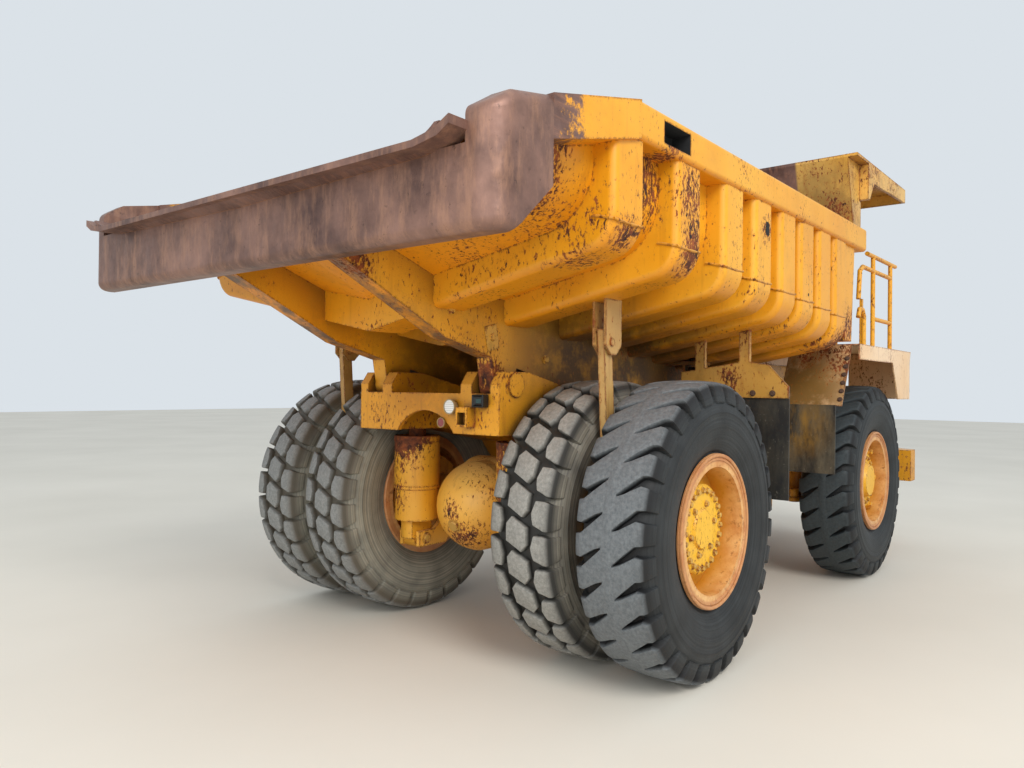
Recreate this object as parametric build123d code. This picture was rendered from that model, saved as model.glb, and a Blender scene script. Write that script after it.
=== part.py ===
from build123d import *
import math
import os

# Rigid dump truck, millimetres.
# While modelling, x = 0 is the rear axle, +X is forward, +Y is left and z = 0 is the ground.
# save() moves every piece so that the origin is under the middle of the truck.

# Driving dimensions of the whole machine
WHEELBASE = 3710
NOSE_X = WHEELBASE + 2070
TAIL_X = -2330
MID_X = (NOSE_X + TAIL_X) / 2

# Tyres and wheels
TYRE_R = 940
TYRE_HALF = 250
TREAD_HALF = 214
BEAD_HALF = 187
BEAD_R = 425
RIM_BORE_R = 400
FLANGE_R = 485
FLANGE_OUT = 212
SEAT_GAP = 0.3
FRONT_Y = 1551
DUAL_Y = 1268
DUAL_STEP = 320
AXLE_Z = TYRE_R
LUG_DEPTH = 48
LUG_TOP_DROP = 2.5
ROCK_LUGS = 30
ROCK_LUG_WIDTH = 122
BLOCK_LUGS = 28
BLOCK_LUG_WIDTH = 158
HEX_HALF = 72
HEX_TALL = 103
HEX_LEAN = 38

# Running fits and working clearances
PIN_FIT = 0.08

# Main frame
RAIL_IN = 440
RAIL_OUT = 660
UPRIGHT_IN = (340, 440)
UPRIGHT_OUT = (600, 680)
PIVOT_X = -620
PIVOT_Z = 1840
PIVOT_PIN_R = 50

# Rear suspension
STRUT_X = -350
STRUT_Y = 520
STRUT_R = 167
STRUT_TOP_Z = 1600
STRUT_FOOT_Z = 660
STRUT_PIN_R = 36

# Steering
KINGPIN_Y = 1000
KINGPIN_R = 85
FRONT_STRUT_R = 140
FRONT_STRUT_LOW = 1150
FRONT_STRUT_TOP = 1950
ARM_LENGTH = 320
ARM_SPREAD = 80
TIE_ROD_Z = 790
TIE_ROD_R = 32

# Dump body
WALL = 20
WALL_Y = 1700
TUB_TURN = 280
RIB_DEPTH = 130
RIB_WIDTH = 300
RIB_ROUND = 45
KINK_X = -1180
HEAD_X = WHEELBASE - 970
FLOOR_FRONT_X = HEAD_X - 120
FLOOR_SLOPE = 0.095
FLOOR_EDGE_Z = 2680
VEE_DROP = 344
LIP_Z = 2840
CLAD_X = (-2220, -1830)
CLAD_LOW_Z = 2470
CLAD_BEAM_X = -1990
CLAD_CORNER = 120
CLAD_ROUND = 55
BEAM_Y = 520
BEAM_HALF = 65
RAIL_OUT_Y = 1870
RAIL_IN_Y = 1690
RAIL_DEPTH = 205
RAIL_X = (-1070, HEAD_X + 210)
RAIL_LOW_Z = (3110, 3095)
TAIL_FALL = 0.25
CANOPY_Y = 1900
CANOPY_Z = 3880
CANOPY_TIP_X = HEAD_X + 1480
HEAD_TOP_X = HEAD_X - 180
HEAD_BEND_Z = CANOPY_Z - 580
HEAD_FOOT_X = HEAD_X - 140

# Hoist cylinders, one each side of the frame
HOIST_Y = 810
HOIST_HEAD = (1700, 1950)
HOIST_FOOT_X = 1405
HOIST_ARM = math.dist(HOIST_HEAD, (PIVOT_X, PIVOT_Z))
HOIST_FOOT = (HOIST_FOOT_X, PIVOT_Z - math.sqrt(HOIST_ARM ** 2 - (HOIST_FOOT_X - PIVOT_X) ** 2))
HOIST_PIN_R = 45
HOIST_EYE_R = 80
HOIST_EAR_GAP = 64

# Front bumper and the tow lugs under it
BUMPER_TOP_Z = 1140
TOW_Y = 500
TOW_HOLE = (NOSE_X - 130, 705)
TOW_HOLE_R = 32

# Decks and cab
DECK_Z = 2250
DECK_T = 12
DECK_IN_Y = 640
DECK_OUT_Y = 1865
DECK_REAR_X = WHEELBASE - 910
DECK_FRONT_X = WHEELBASE + 950
DECK_NOSE_X = WHEELBASE + 1620
FRONT_FLAP_X = DECK_REAR_X - 262
CAB_X = (WHEELBASE - 610, WHEELBASE + 640)
CAB_Y = (680, 1680)
CAB_Z = (2262, 3660)
CAB_WALL = 50
CAB_SILL = 2950
CAB_LEAN = 160
WINDSHIELD_Z = (2965, 3560)

# Rib centres along the body, as shares of the way from the floor's kink to the front wall
RIB_SHARE = [0.0102, 0.1786, 0.3367, 0.4592, 0.5791, 0.6801, 0.7857, 0.8878]
RIB_X = [KINK_X + share * (HEAD_X - KINK_X) for share in RIB_SHARE]


def block(x0, x1, y0, y1, z0, z1):
    """A box given by its faces."""
    middle = ((x0 + x1) / 2, (y0 + y1) / 2, (z0 + z1) / 2)
    return Pos(*middle) * Box(abs(x1 - x0), abs(y1 - y0), abs(z1 - z0))


def side_plate(points, y0, y1):
    """A plate with a side outline of (x, z) points, from y0 to y1."""
    outline = Polyline([(x, 0, z) for x, z in points], close=True)
    face = make_face(outline)
    return Pos(0, y0, 0) * extrude(face, amount=y1 - y0, dir=(0, 1, 0))


def cross_plate(points, x0, x1):
    """A plate with an end outline of (y, z) points, from x0 to x1."""
    outline = Polyline([(0, y, z) for y, z in points], close=True)
    face = make_face(outline)
    return Pos(x0, 0, 0) * extrude(face, amount=x1 - x0, dir=(1, 0, 0))


def flat_plate(points, z0, z1):
    """A plate with a plan outline of (x, y) points, from z0 to z1."""
    outline = Polyline([(x, y, 0) for x, y in points], close=True)
    face = make_face(outline)
    return Pos(0, 0, z0) * extrude(face, amount=z1 - z0, dir=(0, 0, 1))


def rod(start, end, radius):
    """A round bar between two points."""
    a = Vector(*start)
    b = Vector(*end)
    plane = Plane(origin=a, z_dir=b - a)
    return plane * extrude(Circle(radius), amount=(b - a).length)


def disc_y(x, z, radius, y0, y1):
    """A round piece with its axis across the truck."""
    return rod((x, min(y0, y1), z), (x, max(y0, y1), z), radius)


def pipe(points, radius):
    """A bent pipe: straight runs with a ball at each corner."""
    shape = rod(points[0], points[1], radius)
    for start, end in zip(points[1:], points[2:]):
        shape += Pos(*start) * Sphere(radius)
        shape += rod(start, end, radius)
    return shape


def turned(points):
    """Turn (axial, radius) points about the wheel axis, with the axial way as +Y."""
    face = make_face(Polyline([(a, r, 0) for a, r in points], close=True))
    return Rot(0, 0, 90) * revolve(face, Axis.X)


def other_side(shape):
    """The same piece on the right-hand side."""
    return mirror(shape, about=Plane.XZ)


def both(shape):
    """A piece and its mirror image, as one shape."""
    return shape + other_side(shape)


def save(node, shape):
    """Write one sub-part, moved to the truck's own frame."""
    moved = Pos(-MID_X, 0, 0) * shape
    export_step(moved, "parts/" + node + ".step")


# Tyres, rims and hubs

def tyre(lugs):
    """One tyre: flat beads, bulged walls, squared shoulders, a tread band and the lugs that stand on it."""
    tread_r = TYRE_R - LUG_DEPTH
    bead = (BEAD_HALF, BEAD_R)
    heel = (BEAD_HALF, FLANGE_R + 7)
    bulge = (TYRE_HALF, 690)
    shoulder = (TREAD_HALF + 14, tread_r - 50)
    edge = (TREAD_HALF - 10, tread_r)
    right = [Line(bead, heel), ThreePointArc(heel, bulge, shoulder), Line(shoulder, edge)]
    left = [mirror(piece, about=Plane.YZ) for piece in right]
    face = make_face(right + left + [Line(edge, (-edge[0], tread_r)), Line((-bead[0], BEAD_R), bead)])
    carcass = Rot(0, 0, 90) * revolve(face, Axis.X)
    return carcass.fuse(*lugs)


def shoulder_lug(side, inner, width, slant):
    """A block from the tread out over the shoulder and down the side, at the top of the wheel."""
    root = TYRE_R - LUG_DEPTH - 14
    top = math.sqrt(TYRE_R ** 2 - (width / 2) ** 2) - 1
    line = [(inner, root), (inner, top), (TREAD_HALF - 49, top - 3), (TREAD_HALF, top - 18),
            (TYRE_HALF - 12, top - 110), (TREAD_HALF - 12, top - 110), (150, root)]
    block_side = Polyline([(0, side * axial, radius) for axial, radius in line], close=True)
    shape = extrude(make_face(block_side), amount=width / 2, dir=(1, 0, 0), both=True)
    turn_at = side * (inner + 40)
    return Pos(0, turn_at, 0) * Rot(0, 0, slant) * Pos(0, -turn_at, 0) * shape


def ring_of(shape, count, start=0.0):
    """Copies of a block round the wheel, the first one turned by a share of the pitch."""
    return [Rot(0, (step + start) * 360 / count, 0) * shape for step in range(count)]


def rock_tyre():
    """Tyre with deep slanted lugs on both sides of a centre rib."""
    top = TYRE_R - LUG_TOP_DROP
    low = top - LUG_DEPTH - 10
    rib_line = [(-30, low), (-30, top), (30, top), (30, low)]
    rib = turned(rib_line)
    outer = ring_of(shoulder_lug(1, 18, ROCK_LUG_WIDTH, -22), ROCK_LUGS)
    inner = ring_of(shoulder_lug(-1, 18, ROCK_LUG_WIDTH, -22), ROCK_LUGS, 0.5)
    return tyre([rib] + outer + inner)


def block_tyre():
    """Tyre with a row of six-sided blocks down the middle and a row of shoulder blocks each side."""
    half, tall, lean = HEX_HALF, HEX_TALL, HEX_LEAN
    top = math.sqrt(TYRE_R ** 2 - tall ** 2)
    outline = [(-tall, -lean), (-tall * 0.45, half), (tall * 0.6, half), (tall, lean), (tall * 0.45, -half),
               (-tall * 0.6, -half)]
    middle = flat_plate(outline, top - LUG_DEPTH - 10, top)
    blocks = ring_of(middle, BLOCK_LUGS)
    for side, start in ((1, 0.28), (-1, 0.72)):
        blocks += ring_of(shoulder_lug(side, HEX_HALF + 16, BLOCK_LUG_WIDTH, -8), BLOCK_LUGS, start)
    return tyre(blocks)


def rim():
    """One wide rim with a raised, rolled flange at each side."""
    half = BEAD_HALF + SEAT_GAP
    seat = BEAD_R - SEAT_GAP
    side = [(half, seat), (half, FLANGE_R - 14), (half + 9, FLANGE_R), (FLANGE_OUT - 6, FLANGE_R),
            (FLANGE_OUT, FLANGE_R - 8), (FLANGE_OUT, RIM_BORE_R)]
    return turned([(-a, r) for a, r in reversed(side)] + side)


def front_wheel():
    """Front rim, dished disc and bored hub, axial zero at the tyre centre, outside at +Y."""
    bore = KNUCKLE_SPINDLE_R + PIN_FIT
    hub = turned([(-160, bore), (-160, 200), (-60, 210), (-60, 275), (0, 285), (10, RIM_BORE_R + 8),
                  (45, RIM_BORE_R + 8), (45, 280), (120, 262), (120, 175), (170, 150), (170, 0), (5, 0),
                  (5, bore)])
    return rim() + hub


def rear_wheel():
    """Two rims on one final-drive drum, with the round hub cover deep in the outer rim."""
    inner = Pos(0, -DUAL_STEP, 0) * rim()
    outer = Pos(0, DUAL_STEP, 0) * rim()
    loose = AXLE_TUBE_R + 30
    bearing = AXLE_TUBE_R + PIN_FIT
    drum = turned([(-350, loose), (-350, 385), (-330, RIM_BORE_R + 8), (-280, RIM_BORE_R + 8),
                   (-260, 380), (290, 380), (300, RIM_BORE_R + 8), (345, RIM_BORE_R + 8), (345, 300),
                   (365, 285), (430, 285), (440, 270), (440, 130), (455, 120), (455, 0), (0, 0),
                   (0, loose), (-160, loose), (-160, bearing), (-300, bearing), (-300, loose)])
    return inner + outer + drum


# Steering pieces

KNUCKLE_SPINDLE_R = 100


def knuckle():
    """Left knuckle: strut rod, casting, wheel spindle, brake and the arm for the tie rod."""
    x = WHEELBASE
    y = KINGPIN_Y
    low = 700
    body = rod((x, y, low), (x, y, 1060), 150)
    body += rod((x, y, 1060), (x, y, FRONT_STRUT_LOW - 0.5), KINGPIN_R)
    body += disc_y(x, AXLE_Z, 130, y, y + 200)
    body += disc_y(x, AXLE_Z, KNUCKLE_SPINDLE_R, y, FRONT_Y - 10)
    body += disc_y(x, AXLE_Z, 330, y + 165, y + 235)
    tip_x = x - ARM_LENGTH
    tip_y = y + ARM_SPREAD
    top = TIE_ROD_Z - TIE_ROD_R - 14
    body += flat_plate([(x, y + 90), (x, y - 90), (tip_x, tip_y - 55), (tip_x, tip_y + 55)], low, top)
    body += rod((tip_x, tip_y, low), (tip_x, tip_y, top), 55)
    return body


def tie_rod():
    """Left tie rod: a bar with a ball-joint housing at each end, over the two arms."""
    inner = (WHEELBASE - ARM_LENGTH, ARM_SPREAD, TIE_ROD_Z)
    outer = (WHEELBASE - ARM_LENGTH, KINGPIN_Y + ARM_SPREAD, TIE_ROD_Z)
    shape = rod(inner, outer, TIE_ROD_R)
    for x, y, z in (inner, outer):
        shape += rod((x, y, z - TIE_ROD_R - 13.7), (x, y, z + TIE_ROD_R + 8), 46)
    return shape


def steer_lever():
    """Centre lever that moves both tie rods, pivoted under the front cross member."""
    x = WHEELBASE
    top = TIE_ROD_Z - TIE_ROD_R - 14
    tip = x - ARM_LENGTH
    half = ARM_SPREAD + 50
    shape = flat_plate([(x + 40, 70), (x + 40, -70), (tip - 50, -half), (tip - 50, half)], top - 40, top)
    shape += rod((x, 0, top - 55), (x, 0, FRONT_TUBE_Z[0] - 0.5), 60)
    return shape


FRONT_TUBE_Z = (850, 990)


# Main frame

def beam_low_z(x):
    """Underside height of the body's long beams at x."""
    for (x0, z0), (x1, z1) in zip(BEAM_LINE, BEAM_LINE[1:]):
        if x <= x1:
            return z0 + (z1 - z0) * (x - x0) / (x1 - x0)
    return BEAM_LINE[-1][1]


# Underside of the long beams, (x, z) from the tail to the front
BEAM_LINE = [(-2020, 2530), (KINK_X, 2125), (20, 1823), (1300, 1525), (HEAD_FOOT_X, 1525)]
BEAM_REST = 12


def rail_top_z(x):
    """Height of the frame rail's top in front of the engine."""
    (x0, z0), (x1, z1) = RAIL_FRONT_TOP
    return z0 + (z1 - z0) * (x - x0) / (x1 - x0)


# Top of the frame rails beside the engine, (x, z)
FRAME_END_X = WHEELBASE + 1740
RAIL_FRONT_TOP = [(WHEELBASE - 560, 1270), (FRAME_END_X, 1200)]


def main_frame():
    """Two box rails with rear uprights, cross members, strut outriggers and the body's pivot pins."""
    rail_top = [(x, beam_low_z(x) - BEAM_REST) for x in (-200, 20, 1300, WHEELBASE - 810)]
    rail_low = [(FRAME_END_X, 880), (WHEELBASE - 810, 900), (950, 900), (560, 1360), (-200, 1500)]
    rail = side_plate(rail_top + RAIL_FRONT_TOP + rail_low, RAIL_IN, RAIL_OUT)
    plate_line = [(-780, 1510), (-780, 1840), (-720, 1925), (-480, 1925), (120, 1790), (120, 1500)]
    rail += side_plate(plate_line, *UPRIGHT_IN)
    rail += side_plate(plate_line, *UPRIGHT_OUT)
    rail += block(-60, 120, UPRIGHT_IN[0], UPRIGHT_OUT[1], 1500, 1620)
    rail += disc_y(PIVOT_X, PIVOT_Z, PIVOT_PIN_R, UPRIGHT_IN[0], UPRIGHT_OUT[1] + 14)
    rail += disc_y(PIVOT_X, PIVOT_Z, 80, UPRIGHT_OUT[1], UPRIGHT_OUT[1] + 14)
    rail += disc_y(STRUT_X, STRUT_TOP_Z, STRUT_PIN_R, UPRIGHT_IN[0], UPRIGHT_OUT[1])
    outrigger = cross_plate([(RAIL_OUT, 930), (RAIL_OUT, 1250), (900, 1800), (KINGPIN_Y, 1800),
                             (KINGPIN_Y, 1250), (780, 1100)], WHEELBASE - 190, WHEELBASE + 190)
    bore = rod((WHEELBASE, KINGPIN_Y, 900), (WHEELBASE, KINGPIN_Y, 2000), FRONT_STRUT_R + SEAT_GAP)
    rail += outrigger - bore
    hx, hz = HOIST_FOOT
    rail += disc_y(hx, hz, HOIST_PIN_R, RAIL_OUT, HOIST_Y + 85)
    rail += disc_y(hx, hz, 90, RAIL_OUT, HOIST_Y - 60)
    rail += disc_y(hx, hz, 65, HOIST_Y + 60, HOIST_Y + 85)
    rail += side_plate([(hx - 120, 905), (hx + 120, 905), (hx + 85, hz - 80), (hx - 85, hz - 80)], 560, RAIL_OUT)
    hanger = side_plate([(1850, 900), (2050, 900), (2020, 700), (1880, 700)], 500, 600)
    frame = both(rail + hanger)
    frame += block(1880, 2020, -600, 600, 700, 830)
    frame += block(700, 860, -RAIL_IN, RAIL_IN, 1330, 1520)
    frame += block(WHEELBASE - 860, WHEELBASE - 720, -RAIL_IN, RAIL_IN, 905, 1040)
    frame += block(WHEELBASE - 110, WHEELBASE + 110, -RAIL_IN, RAIL_IN, *FRONT_TUBE_Z)
    frame += block(FRAME_END_X - 150, FRAME_END_X, -RAIL_IN, RAIL_IN, 890, 1190)
    web = cross_plate([(-600, 1510), (-600, 1780), (600, 1780), (600, 1510)], -780, -745)
    arch = rod((-800, 0, 1330), (-700, 0, 1330), 330)
    frame += web - arch
    return frame


def front_bumper():
    """Deep box bumper with sloped ends, open for the lamps."""
    line = [(FRAME_END_X, -1700), (NOSE_X - 130, -1700), (NOSE_X, -1480), (NOSE_X, 1480), (NOSE_X - 130, 1700),
            (FRAME_END_X, 1700)]
    bumper = flat_plate(line, 780, BUMPER_TOP_Z)
    for side in (-1, 1):
        bumper -= block(NOSE_X - 90, NOSE_X + 10, side * 1050 - 170, side * 1050 + 170, 880, 1060)
    x, z = TOW_HOLE
    lug = side_plate([(x - 170, 780), (x - 90, z - 55), (x + 70, z - 55), (x + 90, 780)], TOW_Y - 20, TOW_Y + 20)
    lug -= disc_y(*TOW_HOLE, TOW_HOLE_R, TOW_Y - 30, TOW_Y + 30)
    return bumper + both(lug)


def head_lamps():
    """Two round lamps in each bumper recess, and the round and square lamps on the rear web."""
    lamps = None
    for y in (-1140, -960, 960, 1140):
        lamp = rod((NOSE_X - 90, y, 970), (NOSE_X - 30, y, 970), 78)
        lamps = lamp if lamps is None else lamps + lamp
    lamps += rod((-780, -280, 1690), (-830, -280, 1690), 52)
    lamps += rod((-780, -170, 1580), (-796, -170, 1580), 34)
    lamps += block(-840, -780, -590, -490, 1690, 1775)
    return lamps


def rear_web_parts():
    """The small open box beside the lamps on the rear web."""
    box = block(-860, -780, -470, -370, 1560, 1690)
    return box - block(-870, -800, -455, -385, 1575, 1655)


# Suspension and axle

AXLE_TUBE_R = 175


def axle_housing():
    """Banjo housing with its rear bowl, pinion nose, axle tubes, brake drums and strut ears."""
    line = [(-1120, 0), (-1120, AXLE_TUBE_R), (-890, AXLE_TUBE_R), (-890, 330), (-705, 330),
            (-705, AXLE_TUBE_R), (-350, AXLE_TUBE_R), (-300, 250), (-180, 350), (180, 350), (300, 250),
            (350, AXLE_TUBE_R), (705, AXLE_TUBE_R), (705, 330), (890, 330), (890, AXLE_TUBE_R),
            (1120, AXLE_TUBE_R), (1120, 0)]
    shape = turned(line)
    bowl = make_face([Line((0, 0), (520, 0)), ThreePointArc((520, 0), (455, 190), (250, 330)),
                      Line((250, 330), (0, 330)), Line((0, 330), (0, 0))])
    shape += Rot(0, 0, 180) * revolve(bowl, Axis.X)
    shape += rod((0, 0, 0), (520, 0, 0), 230)
    shape += rod((500, 0, 0), (760, 0, 0), 130)
    shape = Pos(0, 0, AXLE_Z) * shape
    foot = STRUT_FOOT_Z
    ear_line = [(STRUT_X - 70, foot - 60), (STRUT_X - 70, foot + 55), (STRUT_X + 90, foot + 60), (-170, 795),
                (-60, 900), (60, 900), (60, 780), (-140, foot - 60)]
    for y0, y1 in ((410, 450), (590, 630)):
        shape += both(side_plate(ear_line, y0, y1))
    shape += both(disc_y(STRUT_X, foot, STRUT_PIN_R, 410, 630))
    return shape


def a_frame():
    """Arms from the axle housing forward to the ball under the frame."""
    start = (260, 400, AXLE_Z - 215)
    end = (1800, 40, 765)
    arm = rod(start, end, 62)
    arm += block(150, 330, 350, 450, AXLE_Z - 290, AXLE_Z - AXLE_TUBE_R - 0.5)
    shape = both(arm)
    shape += rod((1760, 0, 765), (1879.7, 0, 765), 75)
    return shape


def rear_struts():
    """Gas struts: barrel, neck and top eye, and the rod and foot eye on the axle's ears."""
    x, y = STRUT_X, STRUT_Y
    top = STRUT_TOP_Z
    foot = STRUT_FOOT_Z
    shape = rod((x, y, 800), (x, y, 1440), STRUT_R)
    shape += rod((x, y, 1440), (x, y, top), 66)
    shape += rod((x, y, foot), (x, y, 800), 120) & block(x - 120, x + 120, y - 62, y + 62, foot, 800)
    shape += disc_y(x, top, 76, y - 70, y + 70)
    shape += disc_y(x, foot, 78, y - 62, y + 62)
    shape -= disc_y(x, top, STRUT_PIN_R + PIN_FIT, y - 90, y + 90)
    shape -= disc_y(x, foot, STRUT_PIN_R + PIN_FIT, y - 90, y + 90)
    return both(shape)


def front_struts():
    """Upright front suspension cylinders held by the outriggers."""
    x, y = WHEELBASE, KINGPIN_Y
    shape = rod((x, y, FRONT_STRUT_LOW), (x, y, FRONT_STRUT_TOP - 40), FRONT_STRUT_R)
    shape += rod((x, y, FRONT_STRUT_TOP - 40), (x, y, FRONT_STRUT_TOP), 105)
    return both(shape)


# Power train

# Engine between the rails
ENGINE_X = (WHEELBASE - 430, WHEELBASE + 990)


def engine_block():
    """The engine as one plain block between the rails."""
    return block(ENGINE_X[0], ENGINE_X[1], -370, 370, 1040, 1900)


# Gearbox behind the engine
GEARBOX_X = (WHEELBASE - 1630, WHEELBASE - 950)


def transmission():
    """Gearbox between the rails, and the shaft to the axle's pinion nose."""
    back, front = GEARBOX_X
    box = block(back, front, -330, 330, 960, 1420)
    shaft = rod((760.3, 0, AXLE_Z), (back, 0, 1080), 70)
    yokes = rod((770, 0, AXLE_Z + 1), (860, 0, AXLE_Z + 10), 105)
    yokes += rod((back - 90, 0, 1071), (back, 0, 1080), 110)
    shape = box + shaft + yokes
    shape += rod((front, 0, 1190), (ENGINE_X[0] - SEAT_GAP, 0, 1190), 90)
    return shape - block(600, 760.3, -200, 200, 700, 1200)


# Back face of the radiator
RADIATOR_X = WHEELBASE + 1470


def radiator():
    """Radiator core in a deep surround, with the upright grille bars in front."""
    back = RADIATOR_X
    shape = block(back, back + 180, -600, 600, rail_top_z(back) + SEAT_GAP, 2330)
    shape -= block(back + 70, back + 220, -530, 530, 1290, 2250)
    for step in range(-4, 5):
        shape += block(back + 140, back + 170, step * 110 - 14, step * 110 + 14, 1290, 2250)
    return shape


def hood():
    """Engine hood: a sloped top with two side panels, open below and at the rear."""
    back = CAB_X[0]
    front = RADIATOR_X
    outer = [(back, 1620), (back, 2380), (back + 100, 2430), (front, 2360), (front, 1620)]
    inner = [(back - 100, 1500), (back - 100, 2362), (back + 105, 2410), (front + 10, 2340), (front + 10, 1500)]
    shape = side_plate(outer, -600, 600)
    return shape - side_plate(inner, -580, 580)


def side_tanks():
    """Fuel tank on the right, hydraulic tank on the left, hung on the rails."""
    shapes = None
    for side in (-1, 1):
        tank = side_plate([(1740, 700), (1740, 1330), (2380, 1330), (2380, 700)], 690, 1240)
        tank = fillet(tank.edges().filter_by(Axis.X), 90)
        tank += block(1830, 1890, RAIL_OUT, 700, 900, 1200)
        tank += block(2230, 2290, RAIL_OUT, 700, 900, 1200)
        tank += rod((1900, 970, 1329), (1900, 970, 1390), 70)
        piece = tank if side > 0 else other_side(tank)
        shapes = piece if shapes is None else shapes + piece
    return shapes


# Decks, rails and ladders

def front_decks():
    """Left and right decks with their fenders: top, side skirt, front leg and sloped rear plate."""
    top = DECK_Z
    low = DECK_Z - 140
    inner_y = DECK_IN_Y
    outer_y = DECK_OUT_Y
    rear = DECK_REAR_X
    front = DECK_FRONT_X
    deck = block(rear, front, inner_y, outer_y, top - DECK_T, top)
    deck += block(front, DECK_NOSE_X, inner_y, 1150, top - DECK_T, top)
    skirt = [(rear, low), (rear, top), (front, top), (front - 40, top - 120), (front - 40, 1745),
             (front - 510, 1745), (front - 730, low)]
    deck += side_plate(skirt, outer_y - DECK_T, outer_y)
    deck += block(front - 52, front - 40, 1240, outer_y, 1745, top - 120)
    deck += side_plate([(front - 52, top - 120), (front - 12, top), (front, top), (front - 40, top - 120)],
                       1240, outer_y)
    foot = FRONT_FLAP_X
    slope = [(foot, 1690), (rear, top - 70), (rear, top), (rear + 12, top), (rear + 12, top - 72),
             (foot + 12, 1690)]
    deck += side_plate(slope, 1230, 1790)
    deck += block(rear, DECK_NOSE_X, inner_y, inner_y + DECK_T, 2100, top)
    return both(deck)


def deck_legs():
    """Posts that stand on the frame and carry the decks."""
    shape = None
    for x in (WHEELBASE - 380, WHEELBASE + 850):
        leg = block(x - 60, x + 60, DECK_IN_Y - 40, DECK_IN_Y, rail_top_z(x - 60), DECK_Z)
        shape = leg if shape is None else shape + leg
    return both(shape)


def handrails():
    """Pipe rails round the decks: posts, top rails, mid rails and the bent grab pipes."""
    r = 21
    y = 1750
    top = DECK_Z + 905
    mid = DECK_Z + 290
    upper = DECK_Z + 760
    floor = DECK_Z
    rear_post = WHEELBASE - 80
    front_post = WHEELBASE + 560
    hook = rear_post - 480
    shape = rod((rear_post, y, floor), (rear_post, y, top), r)
    shape += rod((front_post, y, floor), (front_post, y, top), r)
    shape += rod((rear_post - 210, y, top), (front_post + 190, y, top), r)
    shape += rod((rear_post, y, mid), (front_post, y, mid), r)
    shape += pipe([(hook, y, mid + 150), (hook + 40, y, upper - 50), (hook + 130, y, upper),
                   (front_post, y, upper)], r)
    shape += pipe([(hook, y, mid - 20), (hook + 40, y, mid + 60), (hook + 130, y, mid + 60),
                   (hook + 180, y, mid), (hook + 180, y, floor)], r)
    right = other_side(shape)
    back = DECK_FRONT_X - 60
    nose = DECK_NOSE_X - 50
    front = pipe([(back, 1100, floor), (back, 1100, top), (nose - 90, 700, top), (nose, 700, top - 160),
                  (nose, 700, floor)], r)
    return right + front + other_side(front)


def ladders():
    """Front ladders from the bumper to the decks, one each side."""
    x = DECK_NOSE_X + 140
    low = BUMPER_TOP_Z + SEAT_GAP
    shape = block(x, x + 50, 760, 790, low, DECK_Z + 700)
    shape += block(x, x + 50, 1110, 1140, low, DECK_Z + 700)
    for y in (760, 1110):
        shape += block(DECK_NOSE_X + SEAT_GAP, x, y, y + 30, DECK_Z - 80, DECK_Z)
    for step in range(4):
        z = low + 200 + step * 250
        shape += block(x, x + 60, 780, 1120, z, z + 30)
    return both(shape)


# Cab

def cab_front_x(z):
    """Front face of the cab, which leans back above the sill."""
    rise = max(0, z - CAB_SILL)
    return CAB_X[1] - CAB_LEAN * rise / (CAB_Z[1] - CAB_SILL)


def windshield_plate(back, fore):
    """A plate the size of the windshield, between two distances from the cab's front face."""
    low, high = WINDSHIELD_Z
    line = [(cab_front_x(low) + back, low), (cab_front_x(high) + back, high),
            (cab_front_x(high) + fore, high), (cab_front_x(low) + fore, low)]
    return side_plate(line, CAB_Y[0] + 90, CAB_Y[1] - 90)


def cab_shell():
    """Hollow cab: floor, walls and roof, with the windows and the doorway cut."""
    x0, x1 = CAB_X
    y0, y1 = CAB_Y
    z0, z1 = CAB_Z
    w = CAB_WALL
    outline = [(x0, z0), (x0, z1), (cab_front_x(z1), z1), (x1, CAB_SILL), (x1, z0)]
    hollow = [(x0 + w, z0 + w), (x0 + w, z1 - w), (cab_front_x(z1 - w) - w, z1 - w), (x1 - w, CAB_SILL),
              (x1 - w, z0 + w)]
    shell = side_plate(outline, y0, y1) - side_plate(hollow, y0 + w, y1 - w)
    shell -= windshield_plate(-90, 10)
    shell -= block(x0 - 10, x0 + w + 10, y0 + 110, y1 - 110, 2980, 3540)
    shell -= block(x0 + 120, x1 - 260, y0 - 10, y0 + w + 10, 2980, 3540)
    shell -= block(*DOOR_X, y1 - w - 10, y1 + 10, *DOOR_Z)
    shell += block(x0, x1, y0, y1, DECK_Z + 0.3, z0)
    hx, hy = DOOR_HINGE
    for z in DOOR_HINGE_Z:
        shell += block(hx - 60, hx, y1, y1 + 12, z - 60, z + 60)
        knuckle_low = rod((hx, hy, z - 60), (hx, hy, z - 20.3), 14)
        knuckle_high = rod((hx, hy, z + 20.3), (hx, hy, z + 60), 14)
        shell += knuckle_low + knuckle_high + rod((hx, hy, z - 60), (hx, hy, z + 60), DOOR_PIN_R)
        shell -= rod((hx, hy, z - 20.3), (hx, hy, z + 20.3), 16) - rod((hx, hy, z - 21), (hx, hy, z + 21), DOOR_PIN_R)
    return shell


DOOR_X = (CAB_X[0] + 160, CAB_X[0] + 980)
DOOR_Z = (2330, 3560)
DOOR_GAP = 6
DOOR_HINGE = (DOOR_X[0], CAB_Y[1] + 16)
DOOR_HINGE_Z = (2520, 3420)
DOOR_PIN_R = 8


def cab_glass():
    """Window panes of the cab: front, rear and inner side."""
    x0, x1 = CAB_X
    y0, y1 = CAB_Y
    front = windshield_plate(-30, -18)
    rear = block(x0 + 20, x0 + 30, y0 + 110, y1 - 110, 2980, 3540)
    side = block(x0 + 120, x1 - 260, y0 + 20, y0 + 30, 2980, 3540)
    return front + rear + side


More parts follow.
